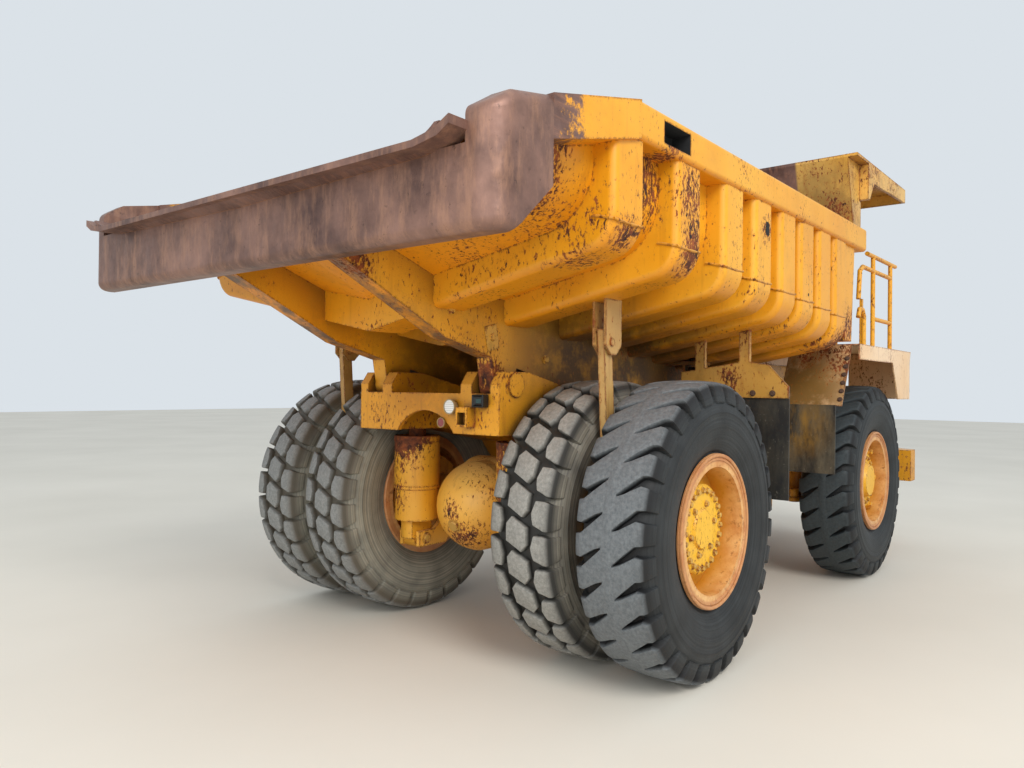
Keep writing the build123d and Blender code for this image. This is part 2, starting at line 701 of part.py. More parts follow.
def cab_door():
    """Door panel with its window cut and a handle, in the doorway on the outer side."""
    x0, x1 = DOOR_X
    z0, z1 = DOOR_Z
    y1 = CAB_Y[1]
    g = DOOR_GAP
    door = block(x0 + g, x1 - g, y1 - CAB_WALL, y1, z0 + g, z1 - g)
    door -= block(x0 + 90, x1 - 90, y1 - 90, y1 + 10, 2950, z1 - 90)
    door += block(x1 - 200, x1 - 80, y1, y1 + 22, 2860, 2885)
    hx, hy = DOOR_HINGE
    for z in DOOR_HINGE_Z:
        door += block(hx + 8, hx + 80, y1, y1 + 14, z - 20, z + 20)
        door += rod((hx, hy, z - 20), (hx, hy, z + 20), 14)
        door -= rod((hx, hy, z - 30), (hx, hy, z + 30), DOOR_PIN_R + PIN_FIT)
    return door


def door_glass():
    """The door's pane."""
    x0, x1 = DOOR_X
    y1 = CAB_Y[1]
    return block(x0 + 90, x1 - 90, y1 - 30, y1 - 20, 2950, DOOR_Z[1] - 90)


def cab_seat():
    """Driver's seat on its pedestal."""
    floor = CAB_Z[0] + CAB_WALL
    x = CAB_X[0] + 420
    y = (CAB_Y[0] + CAB_Y[1]) / 2
    seat = block(x - 180, x + 180, y - 150, y + 150, floor, floor + 300)
    seat += block(x - 230, x + 270, y - 240, y + 240, floor + 300, floor + 420)
    seat += side_plate([(x - 230, floor + 420), (x - 110, floor + 420), (x - 190, floor + 1000),
                        (x - 290, floor + 1000)], y - 230, y + 230)
    return seat


def cab_console():
    """Dash, steering column and steering wheel."""
    floor = CAB_Z[0] + CAB_WALL
    y = (CAB_Y[0] + CAB_Y[1]) / 2
    front = CAB_X[1] - CAB_WALL - SEAT_GAP
    dash = side_plate([(front - 170, floor), (front - 170, floor + 430), (front - 220, floor + 560),
                       (front - 100, floor + 620), (front, floor + 600), (front, floor)],
                      CAB_Y[0] + 60, CAB_Y[1] - 60)
    hub = (front - 370, y, floor + 640)
    dash += rod((front - 150, y, floor + 400), hub, 32)
    wheel = Pos(*hub) * Rot(0, -42, 0) * Torus(200, 16)
    spoke = Pos(*hub) * Rot(0, -42, 0) * Box(400, 36, 14)
    return dash + wheel + spoke


def air_cleaners():
    """Two air cleaner canisters on the right deck."""
    back = DECK_FRONT_X + 60
    shape = rod((back, -800, DECK_Z + 260), (back + 430, -800, DECK_Z + 260), 150)
    shape += block(back + 40, back + 100, -900, -700, DECK_Z, DECK_Z + 180)
    shape += block(back + 330, back + 390, -900, -700, DECK_Z, DECK_Z + 180)
    x = WHEELBASE + 290
    other = rod((x, -900, DECK_Z), (x, -900, DECK_Z + 620), 150)
    other += rod((x, -900, DECK_Z + 620), (x, -900, DECK_Z + 720), 90)
    return shape + other


# Dump body

def floor_edge_z(x):
    """Underside height of the main floor where it meets the side wall."""
    return FLOOR_EDGE_Z - FLOOR_SLOPE * (x - KINK_X)


def shell_section(x, edge_z, drop, inside, top=3500):
    """U-shaped section wire of the body at x: walls and a V floor, outer or inner line."""
    y = WALL_Y if inside else WALL_Y + WALL
    lift = WALL if inside else 0
    turn = TUB_TURN - lift
    slope = drop / y
    keel = (0, edge_z - drop + lift)
    floor_end = (y - turn, edge_z + lift - slope * turn)
    wall_end = (y, edge_z + lift + turn)
    middle = (y - turn * 0.29, edge_z + lift + turn * (0.29 - 0.35 * slope))
    right = [Line(keel, floor_end), ThreePointArc(floor_end, middle, wall_end), Line(wall_end, (y, top))]
    left = [mirror(piece, about=Plane.YZ) for piece in right]
    face = make_face(right + left + [Line((-y, top), (y, top))])
    return Plane((x, 0, 0), x_dir=(0, 1, 0), z_dir=(1, 0, 0)) * face


def body_solid(inside):
    """Filled solid of the body's outer or inner faces, ruled between three sections."""
    tail_x = TAIL_X + 20
    front = FLOOR_FRONT_X
    top = 3600 if inside else 3500
    sections = [shell_section(tail_x, LIP_Z, 0.5, inside, top),
                shell_section(KINK_X, FLOOR_EDGE_Z, VEE_DROP, inside, top)]
    rear = loft(sections, ruled=True)
    sections = [shell_section(KINK_X, FLOOR_EDGE_Z, VEE_DROP, inside, top),
                shell_section(front + 400, floor_edge_z(front + 400), VEE_DROP, inside, top)]
    return rear + loft(sections, ruled=True)


# Front wall line, (x, z) from the floor up: it leans forward, then back to the canopy corner
HEAD_LINE = [(HEAD_FOOT_X, 1900), (HEAD_X, 3080), (HEAD_X, HEAD_BEND_Z), (HEAD_TOP_X + 60, CANOPY_Z)]


def wall_top_z(x):
    """Height of the side wall's top edge: it falls behind the rail's kink, as far as the cladding."""
    if x < RAIL_X[0]:
        return RAIL_LOW_Z[0] - TAIL_FALL * (RAIL_X[0] - max(x, CLAD_X[1]))
    slope = (RAIL_LOW_Z[1] - RAIL_LOW_Z[0]) / (RAIL_X[1] - RAIL_X[0])
    return RAIL_LOW_Z[0] + slope * (x - RAIL_X[0])


def above_wall():
    """What is cut away over the sloping top edge of the side walls."""
    ends = [TAIL_X - 100, CLAD_X[1], RAIL_X[0], RAIL_X[1] + 300]
    line = [(x, wall_top_z(x)) for x in ends]
    return side_plate(line + [(ends[3], CANOPY_Z + 100), (ends[0], CANOPY_Z + 100)], -2100, 2100)


def body_tub():
    """Floor and side walls of the load space, one plate thick, cut off along the front wall."""
    tub = body_solid(False) - body_solid(True)
    tub -= above_wall()
    gap = WALL + 1
    ahead = [(HEAD_FOOT_X + gap, 1500), (HEAD_FOOT_X + gap, 1900), (HEAD_X + gap, 3080),
             (HEAD_X + gap, CANOPY_Z), (HEAD_X + 660, CANOPY_Z), (HEAD_X + 660, 1500)]
    tub -= side_plate(ahead, -2100, 2100)
    return tub


def body_front():
    """Front wall, its side posts, and the canopy over the cab with its side flanges."""
    back = HEAD_LINE
    fore = [(x + WALL, z) for x, z in HEAD_LINE]
    wall = side_plate(back + list(reversed(fore)), -WALL_Y + 0.3, WALL_Y - 0.3)
    wall &= body_solid(True)
    tip = CANOPY_TIP_X
    roof = block(HEAD_TOP_X, tip, -CANOPY_Y, CANOPY_Y, CANOPY_Z, CANOPY_Z + 25)
    roof += block(tip - 20, tip, -CANOPY_Y, CANOPY_Y, CANOPY_Z - 110, CANOPY_Z)
    upper = side_plate([(HEAD_X, HEAD_BEND_Z), (HEAD_TOP_X, CANOPY_Z), (HEAD_TOP_X + WALL, CANOPY_Z),
                        (HEAD_X + WALL, HEAD_BEND_Z)], -WALL_Y, WALL_Y)
    post = RAIL_X[1]
    knee = CANOPY_Z - 320
    flange = side_plate([(HEAD_TOP_X, CANOPY_Z), (post, CANOPY_Z), (post, HEAD_BEND_Z), (HEAD_X, HEAD_BEND_Z)],
                        WALL_Y, WALL_Y + 120)
    flange += side_plate([(post - 50, CANOPY_Z), (tip, CANOPY_Z), (tip, CANOPY_Z - 110),
                          (post + 130, CANOPY_Z - 150), (post, knee), (post - 50, knee)], CANOPY_Y - 25, CANOPY_Y)
    flange += side_plate([(post - 50, CANOPY_Z), (post, CANOPY_Z), (post, knee), (post - 50, knee)],
                         WALL_Y + 100, CANOPY_Y)
    shape = wall + roof + upper + both(flange)
    x0, x1 = RAIL_X[0], RAIL_X[1] + 1
    over = RAIL_DEPTH + SEAT_GAP
    rail_room = side_plate([(x0, wall_top_z(x0)), (x1, wall_top_z(x1)), (x1, wall_top_z(x1) + over),
                            (x0, wall_top_z(x0) + over)], RAIL_IN_Y - SEAT_GAP, RAIL_OUT_Y + 1)
    return shape - both(rail_room)


def body_rails():
    """Box rails along the top of the side walls, with the exhaust slot near the rear end."""
    low = [(x, wall_top_z(x)) for x in RAIL_X]
    high = [(x, z + RAIL_DEPTH) for x, z in reversed(low)]
    rail = side_plate(low + high, RAIL_IN_Y, RAIL_OUT_Y)
    rail = fillet(rail.edges().filter_by(lambda e: e.length > 3000), 30)
    slot = block(-830, -520, 1750, 1900, 3150, 3270)
    rail -= slot
    end = CLAD_X[1]
    rear = [(RAIL_X[0], RAIL_LOW_Z[0]), (RAIL_X[0], RAIL_LOW_Z[0] + RAIL_DEPTH),
            (end, wall_top_z(end) + RAIL_DEPTH), (end, wall_top_z(end))]
    rail += side_plate(rear, RAIL_IN_Y, RAIL_OUT_Y)
    return both(rail)


def side_panels():
    """Flat boxed panel in front of the last rib on each side."""
    low = floor_edge_z(HEAD_FOOT_X) - 60
    back = RIB_X[-1] + RIB_WIDTH / 2 + 20
    panel = side_plate([(back, low), (back, 3200), (HEAD_X + 5, 3200), (HEAD_X - 80, low)],
                       WALL_Y + WALL, WALL_Y + WALL + 110)
    return both(panel) - above_wall()


def one_rib(x, outer):
    """A box rib with rounded lower corners: down the wall, under the V floor, and between the beams."""
    half = RIB_WIDTH / 2
    edge = floor_edge_z(x) if x > KINK_X else FLOOR_EDGE_Z
    out = WALL_Y + WALL + RIB_DEPTH
    low = edge - RIB_DEPTH
    slope = VEE_DROP / (WALL_Y + WALL)
    turn = 170
    inner_y = BEAM_Y + BEAM_HALF
    inner_z = low - slope * (out - inner_y)
    corner = (out, low)
    start = (out - turn, low - slope * turn)
    end = (out, low + turn)
    middle = (out - turn * 0.29, low + turn * 0.20)
    lines = [Line((out, 3300), end), ThreePointArc(end, middle, start), Line(start, (inner_y, inner_z)),
             Line((inner_y, inner_z), (inner_y, 3300)), Line((inner_y, 3300), (out, 3300))]
    face = make_face([Plane.YZ * piece for piece in lines])
    rib = Pos(x - half, 0, 0) * extrude(face, amount=RIB_WIDTH, dir=(1, 0, 0))
    round_edges = rib.edges().filter_by(lambda e: is_rib_edge(e, inner_y))
    rib = fillet(round_edges, RIB_ROUND)
    rib -= outer
    rib -= above_wall()
    mid_z = low - VEE_DROP - slope * RIB_DEPTH
    gap = BEAM_Y - BEAM_HALF
    middle_rib = cross_plate([(-gap, edge), (-gap, mid_z + slope * gap), (0, mid_z), (gap, mid_z + slope * gap),
                              (gap, edge)], x - half, x + half)
    middle_rib -= outer
    return both(rib) + middle_rib


def is_rib_edge(edge, inner_y):
    """The long outer edges of a rib: on its wall side, corner and floor side."""
    middle = edge.position_at(0.5)
    low = middle.Z < 3290
    along = abs(edge.tangent_at(0.5).X) < 0.5
    return low and along and middle.Y > inner_y + 1


def body_ribs(outer):
    """All cross ribs of the body."""
    shape = None
    for x in RIB_X:
        rib = one_rib(x, outer)
        shape = rib if shape is None else shape + rib
    return shape


def body_beams(outer):
    """Two long box beams under the floor, with the pivot ears and the hoist's upper ears."""
    line = BEAM_LINE + [(HEAD_FOOT_X, 2400), (KINK_X, 2900), (-2020, 2900)]
    beam = side_plate(line, BEAM_Y - BEAM_HALF, BEAM_Y + BEAM_HALF)
    beam += disc_y(PIVOT_X, PIVOT_Z, 105, BEAM_Y - BEAM_HALF, BEAM_Y + BEAM_HALF)
    beam += side_plate([(PIVOT_X - 100, PIVOT_Z), (PIVOT_X - 140, 2050), (PIVOT_X + 140, 2000),
                        (PIVOT_X + 100, PIVOT_Z)], BEAM_Y - BEAM_HALF, BEAM_Y + BEAM_HALF)
    beam -= disc_y(PIVOT_X, PIVOT_Z, PIVOT_PIN_R + PIN_FIT, 0, 1000)
    hx, hz = HOIST_HEAD
    for y in (HOIST_Y - HOIST_EAR_GAP - 20, HOIST_Y + HOIST_EAR_GAP):
        ear = side_plate([(hx - 60, hz - 70), (hx - 110, 2400), (hx + 110, 2400), (hx + 60, hz - 70)], y, y + 20)
        beam += ear
    beam += block(hx - 110, hx + 110, BEAM_Y, HOIST_Y + HOIST_EAR_GAP + 20, hz + 85, hz + 115)
    beam -= outer
    for x in RIB_X:
        beam -= one_rib_space(x)
    return both(beam)


def one_rib_space(x):
    """Room that a rib takes beside the beams, for the hoist ears to end at."""
    half = RIB_WIDTH / 2 + 0.3
    edge = floor_edge_z(x) if x > KINK_X else FLOOR_EDGE_Z
    low = edge - RIB_DEPTH
    slope = VEE_DROP / (WALL_Y + WALL)
    out = WALL_Y + WALL + RIB_DEPTH
    inner_y = BEAM_Y + BEAM_HALF
    line = [(inner_y, low - slope * (out - inner_y) - 0.3), (out, low - 0.3), (out, 3300), (inner_y, 3300)]
    return cross_plate(line, x - half, x + half)


def tail_cladding(outer):
    """Heavy worn plate folded round the tail: a deep beam under the lip that wraps up both corners."""
    back, fore = CLAD_X
    side = [(back, CLAD_LOW_Z), (back, LIP_Z + 145), (back + 140, LIP_Z + 235), (fore, LIP_Z + 285),
            (fore, LIP_Z - 130), (fore - 190, LIP_Z - 300), (fore - 260, CLAD_LOW_Z)]
    shape = side_plate(side, -RAIL_OUT_Y, RAIL_OUT_Y)
    upright = shape.edges().filter_by(Axis.Z).filter_by(lambda e: e.center().X < back + 1)
    shape = fillet(upright, CLAD_CORNER)
    crown = shape.edges().filter_by(lambda e: abs(e.center().Y) > RAIL_OUT_Y - 1 and e.center().X > back
                                    and e.center().Z > LIP_Z + 140)
    shape = fillet(crown, CLAD_ROUND)
    low = shape.edges().filter_by(lambda e: e.center().Z < CLAD_LOW_Z + 1 and e.center().X < fore - 300)
    shape = fillet(low, CLAD_ROUND)
    shape -= block(back - 10, fore + 10, -WALL_Y, WALL_Y, LIP_Z - 0.3, LIP_Z + 600)
    shape -= block(CLAD_BEAM_X, fore + 10, -WALL_Y - WALL, WALL_Y + WALL, CLAD_LOW_Z - 10, LIP_Z + 600)
    rise = [(0, LIP_Z - 10), (1500, LIP_Z - 10), (1640, LIP_Z + 12), (1710, LIP_Z + 50), (1710, LIP_Z + 90),
            (1620, LIP_Z + 44), (1490, LIP_Z + 22), (0, LIP_Z + 22)]
    shape += both(cross_plate(rise, TAIL_X, back + 30))
    shape -= block(TAIL_X - 10, fore + 10, -RAIL_OUT_Y - 10, 0, CLAD_LOW_Z - 10, LIP_Z + 600)
    shape -= outer
    shape -= block(BEAM_LINE[0][0] - 1, CLAD_BEAM_X + 10, BEAM_Y - BEAM_HALF, BEAM_Y + BEAM_HALF,
                   CLAD_LOW_Z - 10, LIP_Z)
    return both(shape)


def rock_ejectors(outer):
    """Bars that hang between the twin tyres from double ears under the floor."""
    x = -440
    y = DUAL_Y
    ears = None
    for y0 in (y - 50, y + 34):
        ear = side_plate([(x - 90, 2090), (x - 90, 2420), (x + 90, 2420), (x + 90, 2090), (x + 30, 2030),
                          (x - 30, 2030)], y0, y0 + 16)
        ears = ear if ears is None else ears + ear
    bar = side_plate([(x - 75, 2190), (x + 15, 2190), (x + 75, 1300), (x - 15, 1300)], y - 25, y + 25)
    pin = disc_y(x - 25, 2110, 24, y - 60, y + 60)
    shape = ears + bar + pin
    shape -= outer
    shape -= one_rib_space(RIB_X[1])
    return both(shape)


# Flaps in front of the rear wheels and behind the front wheels

def flap_brackets():
    """Plates under the body that carry the flaps in front of the rear wheels."""
    plate = cross_plate([(1000, 1765), (1000, 1960), (1530, 2040), (1710, 2010), (1860, 1850), (1860, 1765)],
                        1070, 1085)
    for y in (1120, 1480):
        plate += block(1070, 1110, y, y + 80, 1900, 2500)
    plate -= one_rib_space(RIB_X[4])
    return both(plate)


def mud_flaps_rear():
    """Rubber flaps in front of the rear wheels."""
    return both(block(1085, 1100, 1420, 1858, 1020, 1850))


def mud_flaps_front():
    """Rubber flaps behind the front wheels."""
    x = FRONT_FLAP_X
    return both(block(x - 15, x, 1260, 1740, 1090, 1700) + block(x - 15, x + 3, 1260, 1740, 1640, 1700)
                - block(x, x + 20, 1200, 1800, 1690, 1710))


# Hoist cylinders

HOIST_DIR = Vector(HOIST_HEAD[0] - HOIST_FOOT[0], 0, HOIST_HEAD[1] - HOIST_FOOT[1])
HOIST_LENGTH = HOIST_DIR.length
HOIST_UNIT = HOIST_DIR / HOIST_LENGTH


def along_hoist(distance):
    """A point on the left hoist cylinder's axis, measured up from its lower pin."""
    p = Vector(HOIST_FOOT[0], HOIST_Y, HOIST_FOOT[1]) + HOIST_UNIT * distance
    return (p.X, p.Y, p.Z)


BARREL_TOP = 1160


def hoist_barrel():
    """Barrel with its lower eye."""
    shape = rod(along_hoist(105), along_hoist(BARREL_TOP), 105)
    shape += rod(along_hoist(0), along_hoist(105), 48)
    shape += disc_y(*HOIST_FOOT, HOIST_EYE_R, HOIST_Y - 50, HOIST_Y + 50)
    shape -= disc_y(*HOIST_FOOT, HOIST_PIN_R + PIN_FIT, HOIST_Y - 200, HOIST_Y + 200)
    shape -= rod(along_hoist(130), along_hoist(BARREL_TOP + 10), 78 + PIN_FIT)
    return shape


def hoist_stage():
    """Middle tube that slides out of the barrel."""
    shape = rod(along_hoist(135), along_hoist(BARREL_TOP + 20), 78)
    shape -= rod(along_hoist(150), along_hoist(BARREL_TOP + 30), 56 + PIN_FIT)
    return shape


def hoist_rod():
    """Rod with its upper eye."""
    shape = rod(along_hoist(155), along_hoist(HOIST_LENGTH - 30), 56)
    shape += disc_y(*HOIST_HEAD, 70, HOIST_Y - 48, HOIST_Y + 48)
    shape -= disc_y(*HOIST_HEAD, 38, HOIST_Y - 200, HOIST_Y + 200)
    return shape


def main():
    """Build and write every sub-part."""
    os.makedirs("parts", exist_ok=True)
    outer = body_solid(False)
    front_left = Pos(WHEELBASE, FRONT_Y, AXLE_Z)
    rear_left = Pos(0, DUAL_Y, AXLE_Z)
    rock = rock_tyre()
    blocked = block_tyre()
    rear_right = Pos(0, -DUAL_Y, AXLE_Z)
    outboard = Pos(0, DUAL_STEP, 0)
    inboard = Pos(0, -DUAL_STEP, 0)
    sided = {
        "front_tyre": front_left * rock,
        "front_wheel": front_left * front_wheel(),
        "rear_wheels": rear_left * rear_wheel(),
        "knuckle": knuckle(),
        "tie_rod": tie_rod(),
        "hoist_barrel": hoist_barrel(),
        "hoist_stage": hoist_stage(),
        "hoist_rod": hoist_rod(),
    }
    for node, shape in sided.items():
        save(node + "_left", shape)
        save(node + "_right", other_side(shape))
    single = {
        "rear_tyres_left": rear_left * inboard * blocked + rear_left * outboard * blocked,
        "rear_tyres_right": rear_right * outboard * blocked + other_side(rear_left * outboard * rock),
        "main_frame": main_frame() + rear_web_parts(),
        "front_bumper": front_bumper(),
        "lamps": head_lamps(),
        "rear_axle_housing": axle_housing(),
        "axle_a_frame": a_frame(),
        "rear_struts": rear_struts(),
        "front_struts": front_struts(),
        "engine_block": engine_block(),
        "transmission": transmission(),
        "radiator": radiator(),
        "engine_hood": hood(),
        "side_tanks": side_tanks(),
        "front_decks": front_decks(),
        "deck_legs": deck_legs(),
        "handrails": handrails(),
        "ladders": ladders(),
        "front_flaps": mud_flaps_front(),
        "cab_shell": cab_shell(),
        "cab_glass": cab_glass(),
        "cab_seat": cab_seat(),
        "cab_console": cab_console(),
        "cab_door": cab_door(),
        "door_glass": door_glass(),
        "air_cleaners": air_cleaners(),
        "steer_lever": steer_lever(),
        "body_tub": body_tub(),
        "body_front": body_front(),
        "body_rails": body_rails(),
        "side_panels": side_panels(),
        "body_ribs": body_ribs(outer),
        "body_beams": body_beams(outer),
        "tail_cladding": tail_cladding(outer),
        "rock_ejectors": rock_ejectors(outer),
        "flap_brackets": flap_brackets(),
        "rear_flaps": mud_flaps_rear(),
    }
    for node, shape in single.items():
        save(node, shape)


main()
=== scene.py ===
import math

import bpy
from mathutils import Matrix, Vector


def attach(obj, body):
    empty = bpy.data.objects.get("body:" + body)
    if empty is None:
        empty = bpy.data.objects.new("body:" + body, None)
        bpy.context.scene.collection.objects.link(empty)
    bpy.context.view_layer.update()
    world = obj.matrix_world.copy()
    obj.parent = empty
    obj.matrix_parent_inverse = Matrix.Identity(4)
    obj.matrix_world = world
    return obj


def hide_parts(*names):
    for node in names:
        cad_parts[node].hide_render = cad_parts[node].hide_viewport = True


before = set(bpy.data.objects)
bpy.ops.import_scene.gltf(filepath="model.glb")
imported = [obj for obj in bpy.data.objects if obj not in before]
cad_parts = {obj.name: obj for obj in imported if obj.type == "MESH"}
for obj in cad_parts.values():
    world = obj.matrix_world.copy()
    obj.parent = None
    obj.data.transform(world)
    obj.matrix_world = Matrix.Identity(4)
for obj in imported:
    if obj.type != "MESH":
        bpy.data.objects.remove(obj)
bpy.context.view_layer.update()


# Yard and camera: a pale concrete floor under an overcast sky, with a bright soft light high off the right
# rear corner and a faint one lower behind. The camera is held at head height off the same corner.
YARD_SPAN = 90
SKY_STRENGTH = 0.98
CAMERA_PLACE = Vector((-6.333, -3.933, 1.819))
CAMERA_YAW = 0.68866
CAMERA_PITCH = 0.00515
CAMERA_ROLL = 0.010625
SENSOR_WIDTH = 36
LENS = 27.63


def linear(code):
    """Turn an sRGB hex colour into Blender's linear colour."""
    channels = [int(code[i:i + 2], 16) / 255 for i in (0, 2, 4)]
    curve = [c / 12.92 if c <= 0.04045 else ((c + 0.055) / 1.055) ** 2.4 for c in channels]
    return (*curve, 1)


def new_material(name):
    """An empty material with its output node."""
    material = bpy.data.materials.new(name)
    material.use_nodes = True
    material.node_tree.nodes.clear()
    material.node_tree.nodes.new("ShaderNodeOutputMaterial")
    return material


def add_node(material, kind, inputs=None, **settings):
    """Add one node, set its properties, and set or link its inputs."""
    tree = material.node_tree
    node = tree.nodes.new(kind)
    for key, value in settings.items():
        setattr(node, key, value)
    for key, value in (inputs or {}).items():
        if isinstance(value, bpy.types.NodeSocket):
            tree.links.new(value, node.inputs[key])
        else:
            node.inputs[key].default_value = value
    return node


def object_place(material):
    """Where a point of the surface lies, in metres."""
    return add_node(material, "ShaderNodeTexCoord").outputs["Object"]


def noise(material, place, scale, detail=5, roughness=0.6):
    """Noise whose grain is 1 / scale metres."""
    return add_node(material, "ShaderNodeTexNoise", {
        "Vector": place, "Scale": scale, "Detail": detail, "Roughness": roughness}).outputs["Fac"]


def mixed(material, share, first, second):
    """Two colours mixed by a share; a colour is a hex code, a linear colour or a socket."""
    first, second = (linear(c) if isinstance(c, str) else c for c in (first, second))
    return add_node(material, "ShaderNodeMix", {"Factor": share, "A": first, "B": second},
                    data_type="RGBA").outputs[2]


def finish_material(material, shader):
    """Join the last shader to the output."""
    output = material.node_tree.nodes["Material Output"]
    material.node_tree.links.new(shader.outputs[0], output.inputs["Surface"])
    return material


def select_only(piece):
    """Leave edit mode, deselect everything and make one object active."""
    if bpy.context.mode != "OBJECT":
        bpy.ops.object.mode_set(mode="OBJECT")
    bpy.ops.object.select_all(action="DESELECT")
    piece.select_set(True)
    bpy.context.view_layer.objects.active = piece


def new_piece(name, add, **settings):
    """Add one primitive with nothing else selected, and name it."""
    bpy.ops.object.select_all(action="DESELECT")
    add(**settings)
    piece = bpy.context.object
    piece.name = name
    return piece


select_only(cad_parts["main_frame"])
yard = new_piece("yard_floor", bpy.ops.mesh.primitive_plane_add, size=YARD_SPAN, location=(6, 6, 0))
concrete = new_material("pale_concrete")
patches = noise(concrete, object_place(concrete), 0.35, 8, 0.5)
finish_material(concrete, add_node(concrete, "ShaderNodeBsdfPrincipled", {
    "Base Color": mixed(concrete, patches, "D6D0C3", "ECE6DA"), "Roughness": 0.8}))
yard.data.materials.append(concrete)

world = bpy.data.worlds.new("overcast_sky")
bpy.context.scene.world = world
world.use_nodes = True
sky = world.node_tree.nodes["Background"]
sky.inputs["Color"].default_value = linear("DDE4EA")
sky.inputs["Strength"].default_value = SKY_STRENGTH


def soft_light(place, shines_along, size, energy, colour):
    """A round area light."""
    bpy.ops.object.light_add(type="AREA", location=place)
    light = bpy.context.object
    light.data.shape = "DISK"
    light.data.size = size
    light.data.energy = energy
    light.data.color = colour
    light.rotation_euler = Vector(shines_along).to_track_quat("-Z", "Y").to_euler()


soft_light((-9, -13, 12), (9, 12, -10), size=9, energy=2000, colour=(1.0, 0.97, 0.93))
soft_light((-11, -3, 4), (9, 2.6, -2.8), size=6, energy=190, colour=(1.0, 0.98, 0.95))

bpy.ops.object.camera_add(location=CAMERA_PLACE)
camera = bpy.context.object
camera.data.sensor_width = SENSOR_WIDTH
camera.data.lens = LENS
ahead = Vector((math.cos(CAMERA_YAW) * math.cos(CAMERA_PITCH), math.sin(CAMERA_YAW) * math.cos(CAMERA_PITCH),
                math.sin(CAMERA_PITCH)))
right = ahead.cross(Vector((0, 0, 1))).normalized()
level_view = Matrix((right, right.cross(ahead), -ahead)).transposed()
camera.rotation_euler = (level_view @ Matrix.Rotation(CAMERA_ROLL, 3, "Z")).to_euler()
bpy.context.scene.camera = camera
bpy.context.scene.view_settings.view_transform = "Standard"


# Tyres: vulcanised rubber on steel cords, moulded as one piece with deep lugs and beaded onto the rims.
# The front pair and the right outer rear one are rock tyres, with slanted lugs either side of a centre rib.
# The other three are older ones with six-sided blocks down the middle, worn round at their edges.
TREAD_R = 0.94
AXLE_Z = 0.94
FRONT_AXLE_X = 1.985
REAR_AXLE_X = -1.725
FRONT_TYRE_Y = 1.551
OUTER_TYRE_Y = 1.588
INNER_TYRE_Y = 0.948
ROUND_STEPS = 144
MERGE_WITHIN = 0.0004
GROOVE_TO_TOP = (0.902, 0.934)
WALL_TO_TREAD = (0.835, 0.885)
DARK_RUBBER = ("82878A", "0C0D10", "41464A", "101315", "323638")
FRONT_RUBBER = ("424C50", "090B0E", "1E2428", "101416", "2C3235")
DUSTY_RUBBER = ("ACAAA3", "302F2C", "64635F", "55534E", "9D9788")
MUDDY_RUBBER = ("9FA09D", "5A5449", "5F6161", "66665F", "ABA694")


def share_of(material, value, low, high, top=1.0):
    """How far a value lies between two limits, as 0 to top."""
    return add_node(material, "ShaderNodeMapRange", {
        "Value": value, "From Min": low, "From Max": high, "To Max": top}).outputs[0]


def maths(material, operation, first, second):
    """One sum, product or other step on two values."""
    return add_node(material, "ShaderNodeMath", {0: first, 1: second}, operation=operation).outputs[0]


def bumped(material, height, strength, distance, below=None):
    """A bump from a height, on top of the one below."""
    inputs = {"Height": height, "Strength": strength, "Distance": distance}
    if below is not None:
        inputs["Normal"] = below
    return add_node(material, "ShaderNodeBump", inputs).outputs[0]


def surface(material, colour, roughness, bump, metallic=0.0, alpha=1.0, coat=0.0):
    """The shader of a surface."""
    return add_node(material, "ShaderNodeBsdfPrincipled", {
        "Base Color": colour, "Roughness": roughness, "Normal": bump, "Metallic": metallic, "Alpha": alpha,
        "Coat Weight": coat})


def vectors(material, operation, first, second):
    """One step on two vectors, as a node's outputs."""
    return add_node(material, "ShaderNodeVectorMath", {0: first, 1: second}, operation=operation).outputs


def round_axle(material, place, centre):
    """The way from a wheel's centre to a point, and the point's distance from the axle's line."""
    away = vectors(material, "SUBTRACT", place, centre)[0]
    level = vectors(material, "MULTIPLY", away, (0, 1, 0))[0]
    return away, vectors(material, "DISTANCE", away, level)["Value"]


def tyre_rubber(name, centre, tread, groove, scuffed, wall, dust):
    """Rubber scuffed pale on its treads, dark down in the grooves, and ringed with dust on the wall."""
    rubber = new_material(name)
    place = object_place(rubber)
    radius = round_axle(rubber, place, centre)[1]
    scuff = noise(rubber, place, 45, 9, 0.75)
    blotch = noise(rubber, place, 5, 4, 0.5)
    rings = add_node(rubber, "ShaderNodeTexNoise", {"W": radius, "Scale": 75, "Detail": 3},
                     noise_dimensions="1D").outputs["Fac"]
    dusty = share_of(rubber, maths(rubber, "MULTIPLY", rings, blotch), 0.12, 0.42, 0.8)
    wall_tone = mixed(rubber, dusty, wall, dust)
    top_tone = mixed(rubber, share_of(rubber, scuff, 0.22, 0.80), scuffed, tread)
    tread_tone = mixed(rubber, share_of(rubber, radius, *GROOVE_TO_TOP), groove, top_tone)
    colour = mixed(rubber, share_of(rubber, radius, *WALL_TO_TREAD), wall_tone, tread_tone)
    return finish_material(rubber, surface(rubber, colour, 0.62, bumped(rubber, scuff, 0.55, 0.004)))


def open_mesh(choose=None):
    """Open the active piece's mesh; choose "SELECT" or "DESELECT" to select all or none of it."""
    bpy.ops.object.mode_set(mode="EDIT")
    if choose:
        bpy.ops.mesh.select_all(action=choose)


def close_mesh(outward=False):
    """Leave edit mode, after turning all faces outward if told to."""
    if outward:
        bpy.ops.mesh.select_all(action="SELECT")
        bpy.ops.mesh.normals_make_consistent(inside=False)
    bpy.ops.object.mode_set(mode="OBJECT")


def between(table, at):
    """Value at a place in a table of (place, value) pairs, straight between them."""
    for (x0, y0), (x1, y1) in zip(table, table[1:]):
        if at <= x1:
            break
    share = min(1, max(0, (at - x0) / (x1 - x0)))
    return y0 + share * (y1 - y0)


